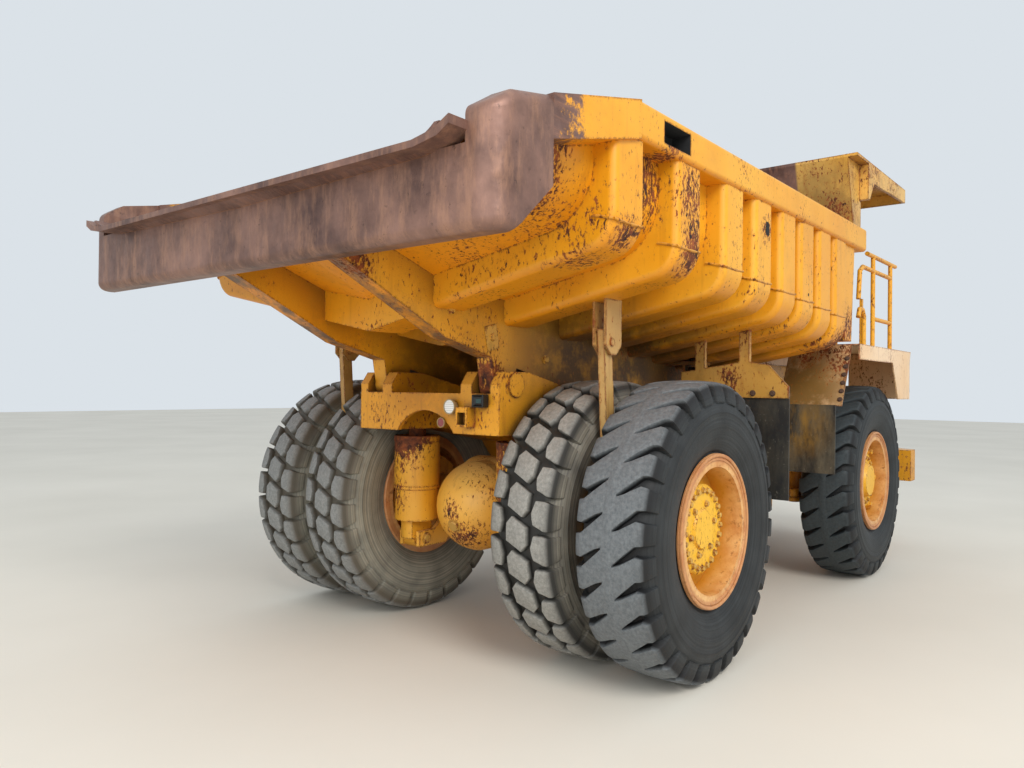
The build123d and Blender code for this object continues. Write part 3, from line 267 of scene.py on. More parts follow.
def spun(name, profile, steps):
    """A closed ring of (axial, radius) points turned once round the wheel's axle, in the Y direction."""
    ring = new_piece(name, bpy.ops.mesh.primitive_circle_add, vertices=len(profile), radius=1)
    for vertex, (axial, radius) in zip(ring.data.vertices, profile):
        vertex.co = (0, axial, radius)
    open_mesh("SELECT")
    bpy.ops.mesh.spin(steps=steps, angle=math.tau, center=(0, 0, 0), axis=(0, 1, 0))
    bpy.ops.mesh.select_all(action="SELECT")
    bpy.ops.mesh.remove_doubles(threshold=MERGE_WITHIN)
    close_mesh(outward=True)
    return ring


BAND_R = 0.892
WALL_PATH = [(0.15, 0.884), (0.19, 0.868), (0.215, 0.835), (0.232, 0.803), (0.2385, 0.79), (0.2435, 0.782),
             (0.2435, 0.772), (0.2455, 0.764), (0.2475, 0.751), (0.2502, 0.746), (0.2502, 0.739),
             (0.248, 0.734), (0.250, 0.69), (0.2485, 0.655), (0.2455, 0.648), (0.241, 0.61), (0.222, 0.55),
             (0.205, 0.517), (0.2005, 0.507), (0.192, 0.498), (0.187, 0.492), (0.187, 0.4255)]
LUG_FACE = [(0.030, 0.9395), (0.080, 0.9385), (0.130, 0.936), (0.175, 0.932), (0.204, 0.926), (0.216, 0.912),
            (0.229, 0.880), (0.239, 0.840), (0.2445, 0.803)]
LUG_ROOT = [(0.030, 0.880), (0.080, 0.880), (0.130, 0.878), (0.165, 0.872), (0.185, 0.862), (0.195, 0.850),
            (0.200, 0.838), (0.206, 0.815), (0.212, 0.795)]


def carcass():
    """The tyre under its tread: flat beads, bulged walls with moulded rings, and the band under the lugs."""
    mirrored = [(-axial, radius) for axial, radius in reversed(WALL_PATH)]
    return spun("carcass", [(0, BAND_R)] + WALL_PATH + mirrored, ROUND_STEPS)


def softened(block, edges, offset):
    """The block with its chosen edges rounded and all its faces turned outward."""
    open_mesh()
    bpy.ops.mesh.select_mode(type="EDGE")
    bpy.ops.mesh.select_all(action="DESELECT")
    close_mesh()
    for edge, chosen in zip(block.data.edges, edges):
        edge.select = chosen
    open_mesh()
    bpy.ops.mesh.bevel(offset=offset, segments=2, affect="EDGES")
    close_mesh(outward=True)
    return block


def raise_walls():
    """Give the active flat piece walls one unit high."""
    open_mesh("SELECT")
    bpy.ops.mesh.extrude_region_move(TRANSFORM_OT_translate={"value": (0, 0, 1)})
    close_mesh()


def lug(name, rows, columns, place_of, soften):
    """A block from a grid: its face is laid along place_of(across, out, 1) and its root along (.., 0)."""
    block = new_piece(name, bpy.ops.mesh.primitive_grid_add, x_subdivisions=columns, y_subdivisions=rows,
                      size=1)
    raise_walls()
    places = [(v.co.x + 0.5, v.co.y + 0.5, round(v.co.z)) for v in block.data.vertices]
    rim_edges = []
    for edge in block.data.edges:
        one, two = (places[i] for i in edge.vertices)
        side = abs(one[0] - two[0]) < 1e-4 and one[0] in (0, 1)
        end = abs(one[1] - two[1]) < 1e-4 and one[1] > 0.99
        rim_edges.append(one[2] == 1 and two[2] == 1 and (side or end))
    for vertex, place in zip(block.data.vertices, places):
        vertex.co = place_of(*place)
    return softened(block, rim_edges, soften)


def rounded_place(side, axial, radius, along):
    """Point on a wheel: axial distance out, radius, and distance along the tread from the top."""
    angle = along / TREAD_R
    return (radius * math.sin(angle), side * axial, radius * math.cos(angle))


def on_path(path, row):
    """Point of a path of (axial, radius) pairs, as many steps along it as row says."""
    step = min(int(row), len(path) - 2)
    return [a + (row - step) * (b - a) for a, b in zip(path[step], path[step + 1])]


def fresh_copy(piece, name):
    """A second piece of the same shape with its own mesh."""
    copy = piece.copy()
    copy.data = piece.data.copy()
    copy.name = name
    bpy.context.collection.objects.link(copy)
    return copy


def copies_round(block, count, start):
    """Copies of a block round the wheel; the first is turned by a share of the pitch."""
    ring = [fresh_copy(block, block.name) for step in range(count)]
    for step, copy in enumerate(ring):
        copy.data.transform(Matrix.Rotation((step + start) * math.tau / count, 4, "Y"))
    bpy.data.objects.remove(block)
    return ring


def joined(name, pieces, angle=35):
    """Join pieces into one, smooth what is nearly flat, and keep the rest crisp."""
    select_only(pieces[0])
    for piece in pieces[1:]:
        piece.select_set(True)
    if len(pieces) > 1:
        bpy.ops.object.join()
    whole = bpy.context.object
    whole.name = name
    bpy.ops.object.shade_smooth_by_angle(angle=math.radians(angle))
    return whole


ROCK_LUGS = 30
ROCK_PITCH = math.tau * TREAD_R / ROCK_LUGS
ROCK_SLANT = 0.714
SLANT_FROM = 0.035
SLANT_TO = 0.175
ROOT_FLARE = 0.007
GROOVE_HALF = [(0.030, 0.004), (0.045, 0.013), (0.175, 0.030), (0.214, 0.035), (0.245, 0.038)]
CENTRE_RIB = [(-0.034, 0.885), (-0.034, 0.938), (-0.028, 0.940), (0.028, 0.940), (0.034, 0.938),
              (0.034, 0.885)]


def rock_lug(side, slant):
    """Slanted lug from the centre rib out over the shoulder; its grooves widen towards the wall."""
    def place_of(across, out, high):
        row = out * (len(LUG_FACE) - 1)
        axial, radius = on_path(LUG_FACE if high else LUG_ROOT, row)
        face_axial = on_path(LUG_FACE, row)[0]
        shift = ROCK_SLANT * (min(max(face_axial, SLANT_FROM), SLANT_TO) - SLANT_FROM)
        gap = between(GROOVE_HALF, face_axial) - (0 if high else ROOT_FLARE)
        return rounded_place(side, axial, radius, slant * shift + gap + across * (ROCK_PITCH - 2 * gap))
    return lug("rock_lug", len(LUG_FACE) - 1, 3, place_of, soften=0.005)


def rock_tyre(name, turned_over):
    """Rock tyre; turned_over mirrors the slant for the left side of the truck."""
    pieces = [carcass(), spun("centre_rib", CENTRE_RIB, ROUND_STEPS)]
    for side in (-1, 1):
        slant = side if turned_over else -side
        pieces += copies_round(rock_lug(side, slant), ROCK_LUGS, 0.5 if side > 0 else 0)
    return joined(name, pieces)


BLOCK_LUGS = 28
BLOCK_PITCH = math.tau * TREAD_R / BLOCK_LUGS
BLOCK_TOP_R = 0.939
BLOCK_ROOT_R = 0.876
BLOCK_FLARE = 1.06
HEXAGON = [(-0.103, -0.038), (-0.046, 0.074), (0.062, 0.074), (0.103, 0.038), (0.046, -0.074),
           (-0.062, -0.074)]
SHOULDER_ROW = 1.6
SHOULDER_GAP = [(0, 0.062), (0.3, 0.034), (0.6, 0.038), (1, 0.060)]
SHOULDER_DRIFT = [(0, 0), (0.35, 0.016), (0.7, 0.020), (1, 0.010)]


def hexagon_block():
    """Six-sided centre block with its long sides leaning, flat on top and rounded at its edges."""
    block = new_piece("hexagon_block", bpy.ops.mesh.primitive_circle_add, vertices=12, radius=1,
                      fill_type="TRIFAN")
    raise_walls()
    outline = []
    for corner, after in zip(HEXAGON, HEXAGON[1:] + HEXAGON[:1]):
        outline += [corner, ((corner[0] + after[0]) / 2, (corner[1] + after[1]) / 2)]
    high = [v.co.z > 0.5 for v in block.data.vertices]
    rim = [math.hypot(v.co.x, v.co.y) > 0.5 for v in block.data.vertices]
    for index, vertex in enumerate(block.data.vertices):
        turn = math.atan2(vertex.co.y, vertex.co.x) / math.tau
        along, axial = outline[round(turn * 12) % 12] if rim[index] else (0, 0)
        spread, radius = (1, BLOCK_TOP_R) if high[index] else (BLOCK_FLARE, BLOCK_ROOT_R)
        vertex.co = rounded_place(1, axial * spread, radius, along * spread)
    top_edges = [all(high[i] and rim[i] for i in edge.vertices) for edge in block.data.edges]
    return softened(block, top_edges, 0.007)


def shoulder_block(side):
    """Five-sided block that points at the gap between two hexagons and folds over the shoulder."""
    def place_of(across, out, high):
        row = SHOULDER_ROW + out * (len(LUG_FACE) - 1 - SHOULDER_ROW)
        row += (1 - out) ** 2 * abs(across - 0.45) * 0.9
        axial, radius = on_path(LUG_FACE if high else LUG_ROOT, row)
        wide = BLOCK_PITCH - between(SHOULDER_GAP, out) + (0 if high else 0.012)
        drift = between(SHOULDER_DRIFT, out)
        return rounded_place(side, axial, radius, side * drift + (across - 0.5) * wide)
    return lug("shoulder_block", 7, 4, place_of, soften=0.006)


def block_tyre(name):
    """Tyre with a row of hexagons and a row of shoulder blocks either side."""
    pieces = [carcass()] + copies_round(hexagon_block(), BLOCK_LUGS, 0)
    pieces += copies_round(shoulder_block(1), BLOCK_LUGS, 0.34)
    pieces += copies_round(shoulder_block(-1), BLOCK_LUGS, 0.66)
    return joined(name, pieces)


def hand_over(piece, finish, slot, body):
    """Give a piece its only finish and the body that it moves with; the colour slot is not used."""
    piece.data.materials.clear()
    piece.data.materials.append(finish)
    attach(piece, body)


right_outer = rock_tyre("rock_tyre_rear_right", False)
front_right = fresh_copy(right_outer, "rock_tyre_front_right")
front_left = rock_tyre("rock_tyre_front_left", True)
right_inner = block_tyre("block_tyre_rear_right")
left_inner = fresh_copy(right_inner, "block_tyre_rear_left_inner")
left_outer = fresh_copy(right_inner, "block_tyre_rear_left_outer")
for tyre, x, y, shades, body, cad_tyre in (
        (right_outer, REAR_AXLE_X, -OUTER_TYRE_Y, DARK_RUBBER, "wheels_rear_right", "rear_tyres_right"),
        (front_right, FRONT_AXLE_X, -FRONT_TYRE_Y, FRONT_RUBBER, "wheel_front_right", "front_tyre_right"),
        (front_left, FRONT_AXLE_X, FRONT_TYRE_Y, FRONT_RUBBER, "wheel_front_left", "front_tyre_left"),
        (right_inner, REAR_AXLE_X, -INNER_TYRE_Y, DUSTY_RUBBER, "wheels_rear_right", "rear_tyres_right"),
        (left_inner, REAR_AXLE_X, INNER_TYRE_Y, MUDDY_RUBBER, "wheels_rear_left", "rear_tyres_left"),
        (left_outer, REAR_AXLE_X, OUTER_TYRE_Y, MUDDY_RUBBER, "wheels_rear_left", "rear_tyres_left")):
    place = (x, y, AXLE_Z)
    tyre.data.transform(Matrix.Translation(place))
    hand_over(tyre, tyre_rubber(tyre.name + "_rubber", place, *shades), "tyre", body)
    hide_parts(cad_tyre)


# Paint: golden enamel sprayed over welded plate, paler where it faces up, with painted shade where it faces
# down.
# Rock and tools chip it to rust along the edges and in clusters, rain draws rust down the walls, and the
# wheels throw mud at what hangs low. Every painted piece takes it; shade, chips, runs and dirt differ.
PALE_TOP_TONE = "DDBB82"
RUST_RUN = "8C4A18"
RUST_STAIN = "B9701F"
DARK_RUST = "35180F"
LIGHT_RUST = "9A4F22"
DRY_MUD = "5B4022"
CORNER_GRIME_AND_SHADE = "3A2815"
SCRAPED_BARE = "4D4036"
BARE_FROM = 0.650


def split(material, vector):
    """The X, Y and Z of a vector."""
    return add_node(material, "ShaderNodeSeparateXYZ", {0: vector}).outputs


def on_surface(material):
    """Where a point lies, the same split into X, Y and Z, and the way its surface faces, split too."""
    coordinates = add_node(material, "ShaderNodeTexCoord").outputs
    place = coordinates["Object"]
    return place, split(material, place), split(material, coordinates["Normal"])


def stretched(material, place, scale):
    """A place with its axes scaled, so that noise on it runs out into streaks."""
    return add_node(material, "ShaderNodeMapping", {"Vector": place, "Scale": scale}).outputs[0]


def nearness(material, place, centre, reach):
    """1 at a point, falling to 0 at its reach."""
    return share_of(material, vectors(material, "DISTANCE", place, centre)["Value"], reach, reach * 0.25)


def enamel_layers(paint, fresh, faded, under, chips, dirt, streaks, rust_spots=(), soiled=(), corners=0.0,
                  tail_wear=0.0, scraped_under=0.0):
    """Colour, roughness and bump of the worn enamel, as three sockets."""
    place, where, facing = on_surface(paint)
    colour = mixed(paint, share_of(paint, noise(paint, place, 0.9, 4), 0.35, 0.65), fresh, faded)
    # Painted shade: faces that look down take the deeper under colour, standing in for shade and warm
    # bounced light.
    colour = mixed(paint, share_of(paint, facing["Z"], -0.1, -0.75, 0.85), colour, under)
    # Faces that look up are paled towards a cream tone.
    colour = mixed(paint, share_of(paint, facing["Z"], 0.4, 0.95, 0.45), colour, PALE_TOP_TONE)
    runs = noise(paint, stretched(paint, place, (9, 9, 0.8)), 1.6, 6, 0.65)
    colour = mixed(paint, share_of(paint, runs, 0.56, 0.80, streaks), colour, RUST_RUN)
    grime = share_of(paint, noise(paint, place, 3.1, 9, 0.7), 0.50, 0.82, dirt)
    low_down = share_of(paint, where["Z"], 1.9, 0.7, dirt * 0.45)
    colour = mixed(paint, maths(paint, "MAXIMUM", grime, low_down), colour, DRY_MUD)
    patchy_film = share_of(paint, noise(paint, place, 4.7, 8, 0.7), 0.25, 0.50, 0.9)
    # Soil and painted shade, laid on in patches round given points.
    for x, y, z, reach, soil in soiled:
        film = maths(paint, "MULTIPLY", patchy_film, nearness(paint, place, (x, y, z), reach))
        colour = mixed(paint, film, colour, soil)
    # Grime and painted shade: hollows found by the AO node darken towards a dark brown.
    if corners:
        shelter = add_node(paint, "ShaderNodeAmbientOcclusion", {"Distance": 0.35}, samples=4)
        hollow = share_of(paint, shelter.outputs["AO"], 0.80, 0.25, corners)
        colour = mixed(paint, hollow, colour, CORNER_GRIME_AND_SHADE)
    fleck = noise(paint, stretched(paint, place, (1.0, 1.0, 0.55)), 46, 6, 0.74)
    cluster = share_of(paint, noise(paint, place, 1.7, 3), 0.45, 0.72, 0.13 * chips)
    rounded = add_node(paint, "ShaderNodeBevel", {"Radius": 0.022}, samples=4).outputs[0]
    true_face = add_node(paint, "ShaderNodeNewGeometry").outputs["Normal"]
    agree = vectors(paint, "DOT_PRODUCT", rounded, true_face)["Value"]
    edge = share_of(paint, agree, 0.995, 0.86, 0.16 * min(1.2, chips))
    wear = maths(paint, "ADD", maths(paint, "ADD", fleck, cluster), edge)
    for x, y, z, reach in rust_spots:
        spot = maths(paint, "MULTIPLY", nearness(paint, place, (x, y, z), reach), 0.17)
        wear = maths(paint, "ADD", wear, spot)
    if tail_wear:
        wear = maths(paint, "ADD", wear, share_of(paint, where["X"], -3.05, -3.85, tail_wear))
    if scraped_under:
        low_face = share_of(paint, facing["Z"], -0.35, -0.8, scraped_under)
        patchy = share_of(paint, noise(paint, place, 4.3, 8, 0.7), 0.38, 0.55)
        colour = mixed(paint, maths(paint, "MULTIPLY", low_face, patchy), colour, SCRAPED_BARE)
    bare = share_of(paint, wear, BARE_FROM, BARE_FROM + 0.022)
    rust = mixed(paint, share_of(paint, noise(paint, place, 17, 5), 0.35, 0.68), DARK_RUST, LIGHT_RUST)
    stain = share_of(paint, wear, BARE_FROM - 0.065, BARE_FROM + 0.01, 0.55)
    colour = mixed(paint, bare, mixed(paint, stain, colour, RUST_STAIN), rust)
    rough = maths(paint, "ADD", 0.42, maths(paint, "MULTIPLY", bare, 0.4))
    dents = bumped(paint, noise(paint, place, 2.1, 2), 0.30, 0.03)
    flake = bumped(paint, maths(paint, "SUBTRACT", 1.0, bare), 0.7, 0.0015, dents)
    return colour, rough, flake


def worn_enamel(name, fresh, faded, under, **wear):
    """A finished enamel material."""
    paint = new_material(name)
    return finish_material(paint, surface(paint, *enamel_layers(paint, fresh, faded, under, **wear)))


def dress(finish, *names):
    """Give CAD nodes one finish."""
    for name in names:
        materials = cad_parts[name].data.materials
        materials.clear()
        materials.append(finish)


# Scoured plate: mild steel that sliding rock keeps free of paint, so it rusts purple-brown overnight and is
# polished grey again by the next load. The scratches run the way the rock slides.
STEEL_ROUGHNESS = 0.46
PIT_RUST = "241510"


def steel_layers(steel, dark, light, rusty, stretch, streaks=0.75):
    """Colour and bump of scoured steel, as two sockets."""
    place = object_place(steel)
    tone = mixed(steel, share_of(steel, noise(steel, place, 1.9, 7, 0.62), 0.35, 0.65), dark, light)
    scratch = noise(steel, stretched(steel, place, stretch), 2.5, 9, 0.75)
    colour = mixed(steel, share_of(steel, scratch, 0.47, 0.72, streaks), tone, rusty)
    pits = share_of(steel, noise(steel, place, 24, 7, 0.75), 0.60, 0.72, 0.8)
    bump = bumped(steel, scratch, 0.4, 0.005)
    return mixed(steel, pits, colour, PIT_RUST), bumped(steel, noise(steel, place, 3.3, 3), 0.55, 0.03, bump)


def scoured_steel(name, dark, light, rusty, stretch, metallic=0.35, streaks=0.75):
    """A finished scoured steel material."""
    steel = new_material(name)
    colour, bump = steel_layers(steel, dark, light, rusty, stretch, streaks)
    return finish_material(steel, surface(steel, colour, STEEL_ROUGHNESS, bump, metallic))


def plain(name, colour, roughness, metallic=0.0, mottle=0.12, scale=18.0, alpha=1.0):
    """A small part's material: one colour, mottled and slightly uneven."""
    stuff = new_material(name)
    light = [min(1, c * (1 + mottle * 2) + mottle * 0.05) for c in linear(colour)[:3]] + [1]
    spots = noise(stuff, object_place(stuff), scale, 6)
    tone = mixed(stuff, spots, colour, light)
    bump = bumped(stuff, spots, 0.2, 0.002)
    return finish_material(stuff, surface(stuff, tone, roughness, bump, metallic, alpha))


# Dump body: rolled and welded plate. The tub is bare and scoured inside and painted outside; box ribs, top
# rails and the two long beams are pressed plate welded on; the canopy's edge is scraped by the loader.
GOLD = {"fresh": "E39A12", "faded": "EDAE2C", "under": "E08C04"}
BROWN_STEEL = {"dark": "4B312B", "light": "8C6B60", "rusty": "A8765C"}
OILY_MUD_AND_SHADE = "33241A"
TAIL_MUD_AND_SHADE = "2C1F15"
BROWN_DUST = "70562C"
# Dark patches under the body: oily mud, and painted shadow where the low body shades its underside and the
# frame.
UNDERBODY_MUD_AND_SHADE = [(x, y, 1.95, 0.85, OILY_MUD_AND_SHADE) for x in (-1.5, -0.7, 0.1, 0.9) for y in (-0.7, 0.7)]
UNDERBODY_MUD_AND_SHADE += [(-2.05, 0.0, 1.95, 0.70, TAIL_MUD_AND_SHADE)]
WORN_LIP_X = -3.95
WORN_RAIL_X = -3.86
SCOURED_HEAD_Y = 1.36


def enamel_over_steel(name, enamel, stretch, painted_share):
    """Enamel where painted_share(plate) is 1, scoured steel where it is 0."""
    plate = new_material(name)
    painted = surface(plate, *enamel_layers(plate, **enamel))
    colour, bump = steel_layers(plate, **BROWN_STEEL, stretch=stretch)
    bare = surface(plate, colour, STEEL_ROUGHNESS, bump, metallic=0.35)
    return finish_material(plate, add_node(plate, "ShaderNodeMixShader", {
        0: painted_share(plate), 1: bare.outputs[0], 2: painted.outputs[0]}))


def tub_outside(plate):
    """Faces that look away from the load, except at the lip."""
    where, facing = on_surface(plate)[1:]
    outward = maths(plate, "MULTIPLY", facing["Y"], maths(plate, "SIGN", where["Y"], 0.0))
    outer = share_of(plate, maths(plate, "SUBTRACT", outward, facing["Z"]), 0.0, 0.05)
    return maths(plate, "MULTIPLY", outer, share_of(plate, where["X"], WORN_LIP_X, WORN_LIP_X + 0.02))


def head_edges(plate):
    """All but the middle of the face that looks at the load, which sliding rock has scoured."""
    where, facing = on_surface(plate)[1:]
    across = maths(plate, "ABSOLUTE", where["Y"], 0.0)
    scoured = maths(plate, "MULTIPLY", share_of(plate, facing["X"], -0.2, -0.3),
                    share_of(plate, across, SCOURED_HEAD_Y + 0.01, SCOURED_HEAD_Y - 0.01))
    return maths(plate, "SUBTRACT", 1.0, scoured)


def ahead_of_tail(plate):
    """All but the tail end, with a ragged edge."""
    place, where = on_surface(plate)[:2]
    ragged = maths(plate, "MULTIPLY", noise(plate, place, 5, 8, 0.8), 1.1)
    return share_of(plate, maths(plate, "SUBTRACT", where["X"], ragged), WORN_RAIL_X - 0.07, WORN_RAIL_X)


tub_enamel = dict(GOLD, chips=0.9, dirt=0.25, streaks=0.45, tail_wear=0.07, soiled=UNDERBODY_MUD_AND_SHADE,
                  rust_spots=[(-2.55, -1.72, 2.95, 0.42), (-3.45, -1.6, 2.85, 0.35)])
dress(enamel_over_steel("tub_plate", tub_enamel, (1.2, 12, 12), tub_outside), "body_tub")
rib_spots = [(-2.16, -1.85, 2.93, 0.30), (-2.16, -1.85, 2.62, 0.22), (-1.06, -1.85, 2.93, 0.15),
             (-2.85, -1.85, 2.60, 0.16), (-2.9, -1.60, 2.35, 0.22), (-2.2, -1.6, 2.25, 0.25),
             (0.85, -1.85, 2.38, 0.30), (0.60, -1.70, 2.24, 0.25)]
dress(worn_enamel("rib_enamel", **GOLD, chips=0.75, dirt=0.2, streaks=0.35, rust_spots=rib_spots,
                  soiled=UNDERBODY_MUD_AND_SHADE, tail_wear=0.02), "body_ribs", "side_panels")
dress(worn_enamel("beam_enamel", **GOLD, chips=0.9, dirt=0.5, streaks=0.3, scraped_under=0.9, corners=0.8,
                  soiled=UNDERBODY_MUD_AND_SHADE,
                  rust_spots=[(-3.62, -0.55, 2.50, 0.22), (-2.45, -0.52, 1.86, 0.2)]), "body_beams")
head_enamel = dict(fresh="D9A03A", faded="E2B662", under="A87A34", chips=1.25, dirt=0.7, streaks=0.8,
                   soiled=[(0.75, y, 3.40, 0.55, BROWN_DUST) for y in (-1.62, 1.62)],
                   rust_spots=[(1.10, -1.62, 3.40, 0.3), (2.05, -1.7, 3.75, 0.4), (1.45, -1.7, 3.85, 0.25)])
dress(enamel_over_steel("canopy_enamel", head_enamel, (12, 12, 1.2), head_edges), "body_front")
rail_enamel = dict(GOLD, chips=1.05, dirt=0.2, streaks=0.3, rust_spots=[(-2.45, -1.8, 3.12, 0.18)])
dress(enamel_over_steel("rail_enamel", rail_enamel, (1.2, 12, 12), ahead_of_tail), "body_rails")

# Tail cladding: a thick wear plate folded round the body's tail and over its corners. It never had paint
# for long: purple-brown rust with pale polished streaks where rock pours off.
dress(scoured_steel("tail_wear_plate", "4C3530", "947062", "B98A6C", (5, 5, 1.2), streaks=0.6),
      "tail_cladding")


# Weld seams and holes on the ribs: the upright and the floor part of each rib meet in a raised lap weld.
# Rust has opened a ragged hole in the fourth rib, and the second and sixth have small round drain holes;
# each hole is drawn as a near-black disc of painted shade laid on the plate.
# A seam is told for half a rib: out from the rib's middle, the place across the truck, and the rise.
RIB_CENTRES = [-2.865, -2.205, -1.585, -1.105, -0.635, -0.239, 0.175, 0.575]
SEAM_Z = [2.66, 2.62, 2.585, 2.555, 2.53, 2.505, 2.48, 2.455]
RIB_FACE_Y = 1.8502
SEAM_FACE_Y = RIB_FACE_Y - 0.001
HALF_SEAM = [(0.151, 1.722, 0.035), (0.151, SEAM_FACE_Y - 0.032, 0.012), (0.142, SEAM_FACE_Y - 0.010, 0.008),
             (0.120, SEAM_FACE_Y, 0.004)]
BEAD_R = 0.008
HOLE_Y = -RIB_FACE_Y - 0.0006


def weld_bead(start, end):
    """A bead between two points: a slim cylinder, cut across its middle and roughened into lumps."""
    start, end = Vector(start), Vector(end)
    bead = new_piece("rib_weld", bpy.ops.mesh.primitive_cylinder_add, vertices=8, radius=BEAD_R,
                     depth=(end - start).length, end_fill_type="TRIFAN")
    open_mesh("SELECT")
    bpy.ops.mesh.bisect(plane_co=(0, 0, 0), plane_no=(0, 0, 1))
    close_mesh()
    for vertex in bead.data.vertices:
        lump = 1 + 0.25 * math.sin(vertex.co.z * 190 + vertex.co.x * 300)
        vertex.co.x *= lump
        vertex.co.y *= lump
    turn = (end - start).to_track_quat("Z", "Y").to_matrix().to_4x4()
    bead.data.transform(Matrix.Translation((start + end) / 2) @ turn)
    return bead


seams = []
for rib, seam_z in zip(RIB_CENTRES, SEAM_Z):
    for side in (-1, 1):
        path = [(rib - out, side * y, seam_z + rise) for out, y, rise in HALF_SEAM]
        path += [(rib, side * SEAM_FACE_Y, seam_z)]
        path += [(rib + out, side * y, seam_z + rise) for out, y, rise in reversed(HALF_SEAM)]
        seams += [weld_bead(start, end) for start, end in zip(path, path[1:])]
weld_steel = worn_enamel("painted_weld", "D08E16", "DCA030", "B87410", chips=0.6, dirt=0.5, streaks=0.3)
hand_over(joined("rib_weld_seams", seams), weld_steel, "yellow_paint", "dump_body")
hole_shade = plain("painted_hole_shade", "0B0706", 0.9, mottle=0.3)


def dark_hole(name, x, z, wide=0.026, tall=0.026, jagged=0.02):
    """A hole as painted shade: a near-black ragged ring round a flat floor, just proud of the plate."""
    mouth = new_piece(name, bpy.ops.mesh.primitive_circle_add, vertices=20, radius=1, fill_type="NGON")
    open_mesh("SELECT")
    bpy.ops.mesh.inset(thickness=0.25)
    close_mesh()
    for index, vertex in enumerate(mouth.data.vertices):
        rough = 1 + jagged * math.sin(index * 2.3) * math.cos(index * 5.1)
        vertex.co = (x + vertex.co.x * rough * wide / 2, HOLE_Y, z + vertex.co.y * rough * tall / 2)
    hand_over(mouth, hole_shade, "dark_steel", "dump_body")


dark_hole("rust_hole_rib_four", -1.055, 2.93, wide=0.075, tall=0.10, jagged=0.22)
dark_hole("drain_hole_rib_two", -2.20, 2.70)
dark_hole("drain_hole_rib_six", -0.23, 2.56)


# Frame, axles and suspension: heavy fabricated boxes and castings in the same enamel, but dirtier and
# darkened by painted shade in their hollows and under the body, with grease round the pins and the paint
# gone from the struts where stones hit them.
LOW_GOLD = {"fresh": "E2960E", "faded": "EBA826", "under": "CB820A"}
dress(worn_enamel("frame_enamel", **LOW_GOLD, chips=0.8, dirt=0.45, streaks=0.5, corners=0.9,
                  soiled=UNDERBODY_MUD_AND_SHADE[-1:],
                  rust_spots=[(-2.38, 0.52, 1.62, 0.16), (-2.38, -0.52, 1.62, 0.18)]),
      "main_frame", "front_bumper", "axle_a_frame", "front_struts", "knuckle_left", "knuckle_right",
      "steer_lever", "tie_rod_left", "tie_rod_right", "deck_legs")
dress(worn_enamel("axle_enamel", "EFA828", "F2BA52", "DC9626", chips=1.0, dirt=0.2, streaks=0.5,
                  rust_spots=[(-2.28, 0, 0.94, 0.13), (-2.2, -0.1, 0.72, 0.25)]), "rear_axle_housing")
strut_spots = [(-2.22, 0.55, 1.35, 0.3), (-2.22, 0.60, 0.98, 0.2), (-2.22, -0.52, 1.40, 0.3),
               (-2.22, -0.52, 1.0, 0.2), (-2.1, 0.52, 1.58, 0.3), (-2.1, -0.52, 1.58, 0.3)]
strut_paint = worn_enamel("strut_enamel", "E8A01C", "EEB23A", "CB8818", chips=1.3, dirt=0.3, streaks=0.6,
                          rust_spots=strut_spots)
dress(strut_paint, "rear_struts")
dress(worn_enamel("hoist_barrel_enamel", **LOW_GOLD, chips=0.8, dirt=0.7, streaks=0.3),
      "hoist_barrel_left", "hoist_barrel_right")
dress(plain("polished_hoist_tube", "A9A9A6", 0.16, metallic=1.0),
      "hoist_stage_left", "hoist_stage_right", "hoist_rod_left", "hoist_rod_right")
dress(scoured_steel("oily_cast_iron", "1B1917", "3A332D", "4E3A2A", (5, 5, 5), metallic=0.2),
      "engine_block", "transmission")
dress(plain("radiator_core_black", "191A1B", 0.55, scale=60), "radiator")
dress(worn_enamel("tank_enamel", **LOW_GOLD, chips=0.8, dirt=0.8, streaks=0.5), "side_tanks")


# Wheels: rolled steel rims sprayed orange and gone to rust, on cast hubs that kept their yellow.
# Each hub cover is held by a ring of hexagon bolts, and each front rim by wedge clamps with nuts.
SIDES = ((-1, "right"), (1, "left"))
REAR_WHEEL_Y = 1.268
REAR_HUB_Y = 1.708
FRONT_HUB_Y = 1.671
CLAMP_Y = 1.596
CLAMPS = 7
CLAMP_START = 0.75
RIM_R = 0.425
RIM_RUST = "84461F"
FLANGE_RUST = "B06E48"
WELL_YELLOW = "C98A18"
BEAD_FLANGE = [(0.2121, 0.4600), (0.2200, 0.4605), (0.2250, 0.4660), (0.2255, 0.4760), (0.2210, 0.4825),
               (0.2121, 0.4840)]
LOCK_RING = [(0.2121, 0.4370), (0.2150, 0.4380), (0.2185, 0.4420), (0.2185, 0.4520), (0.2160, 0.4560),
             (0.2121, 0.4565)]


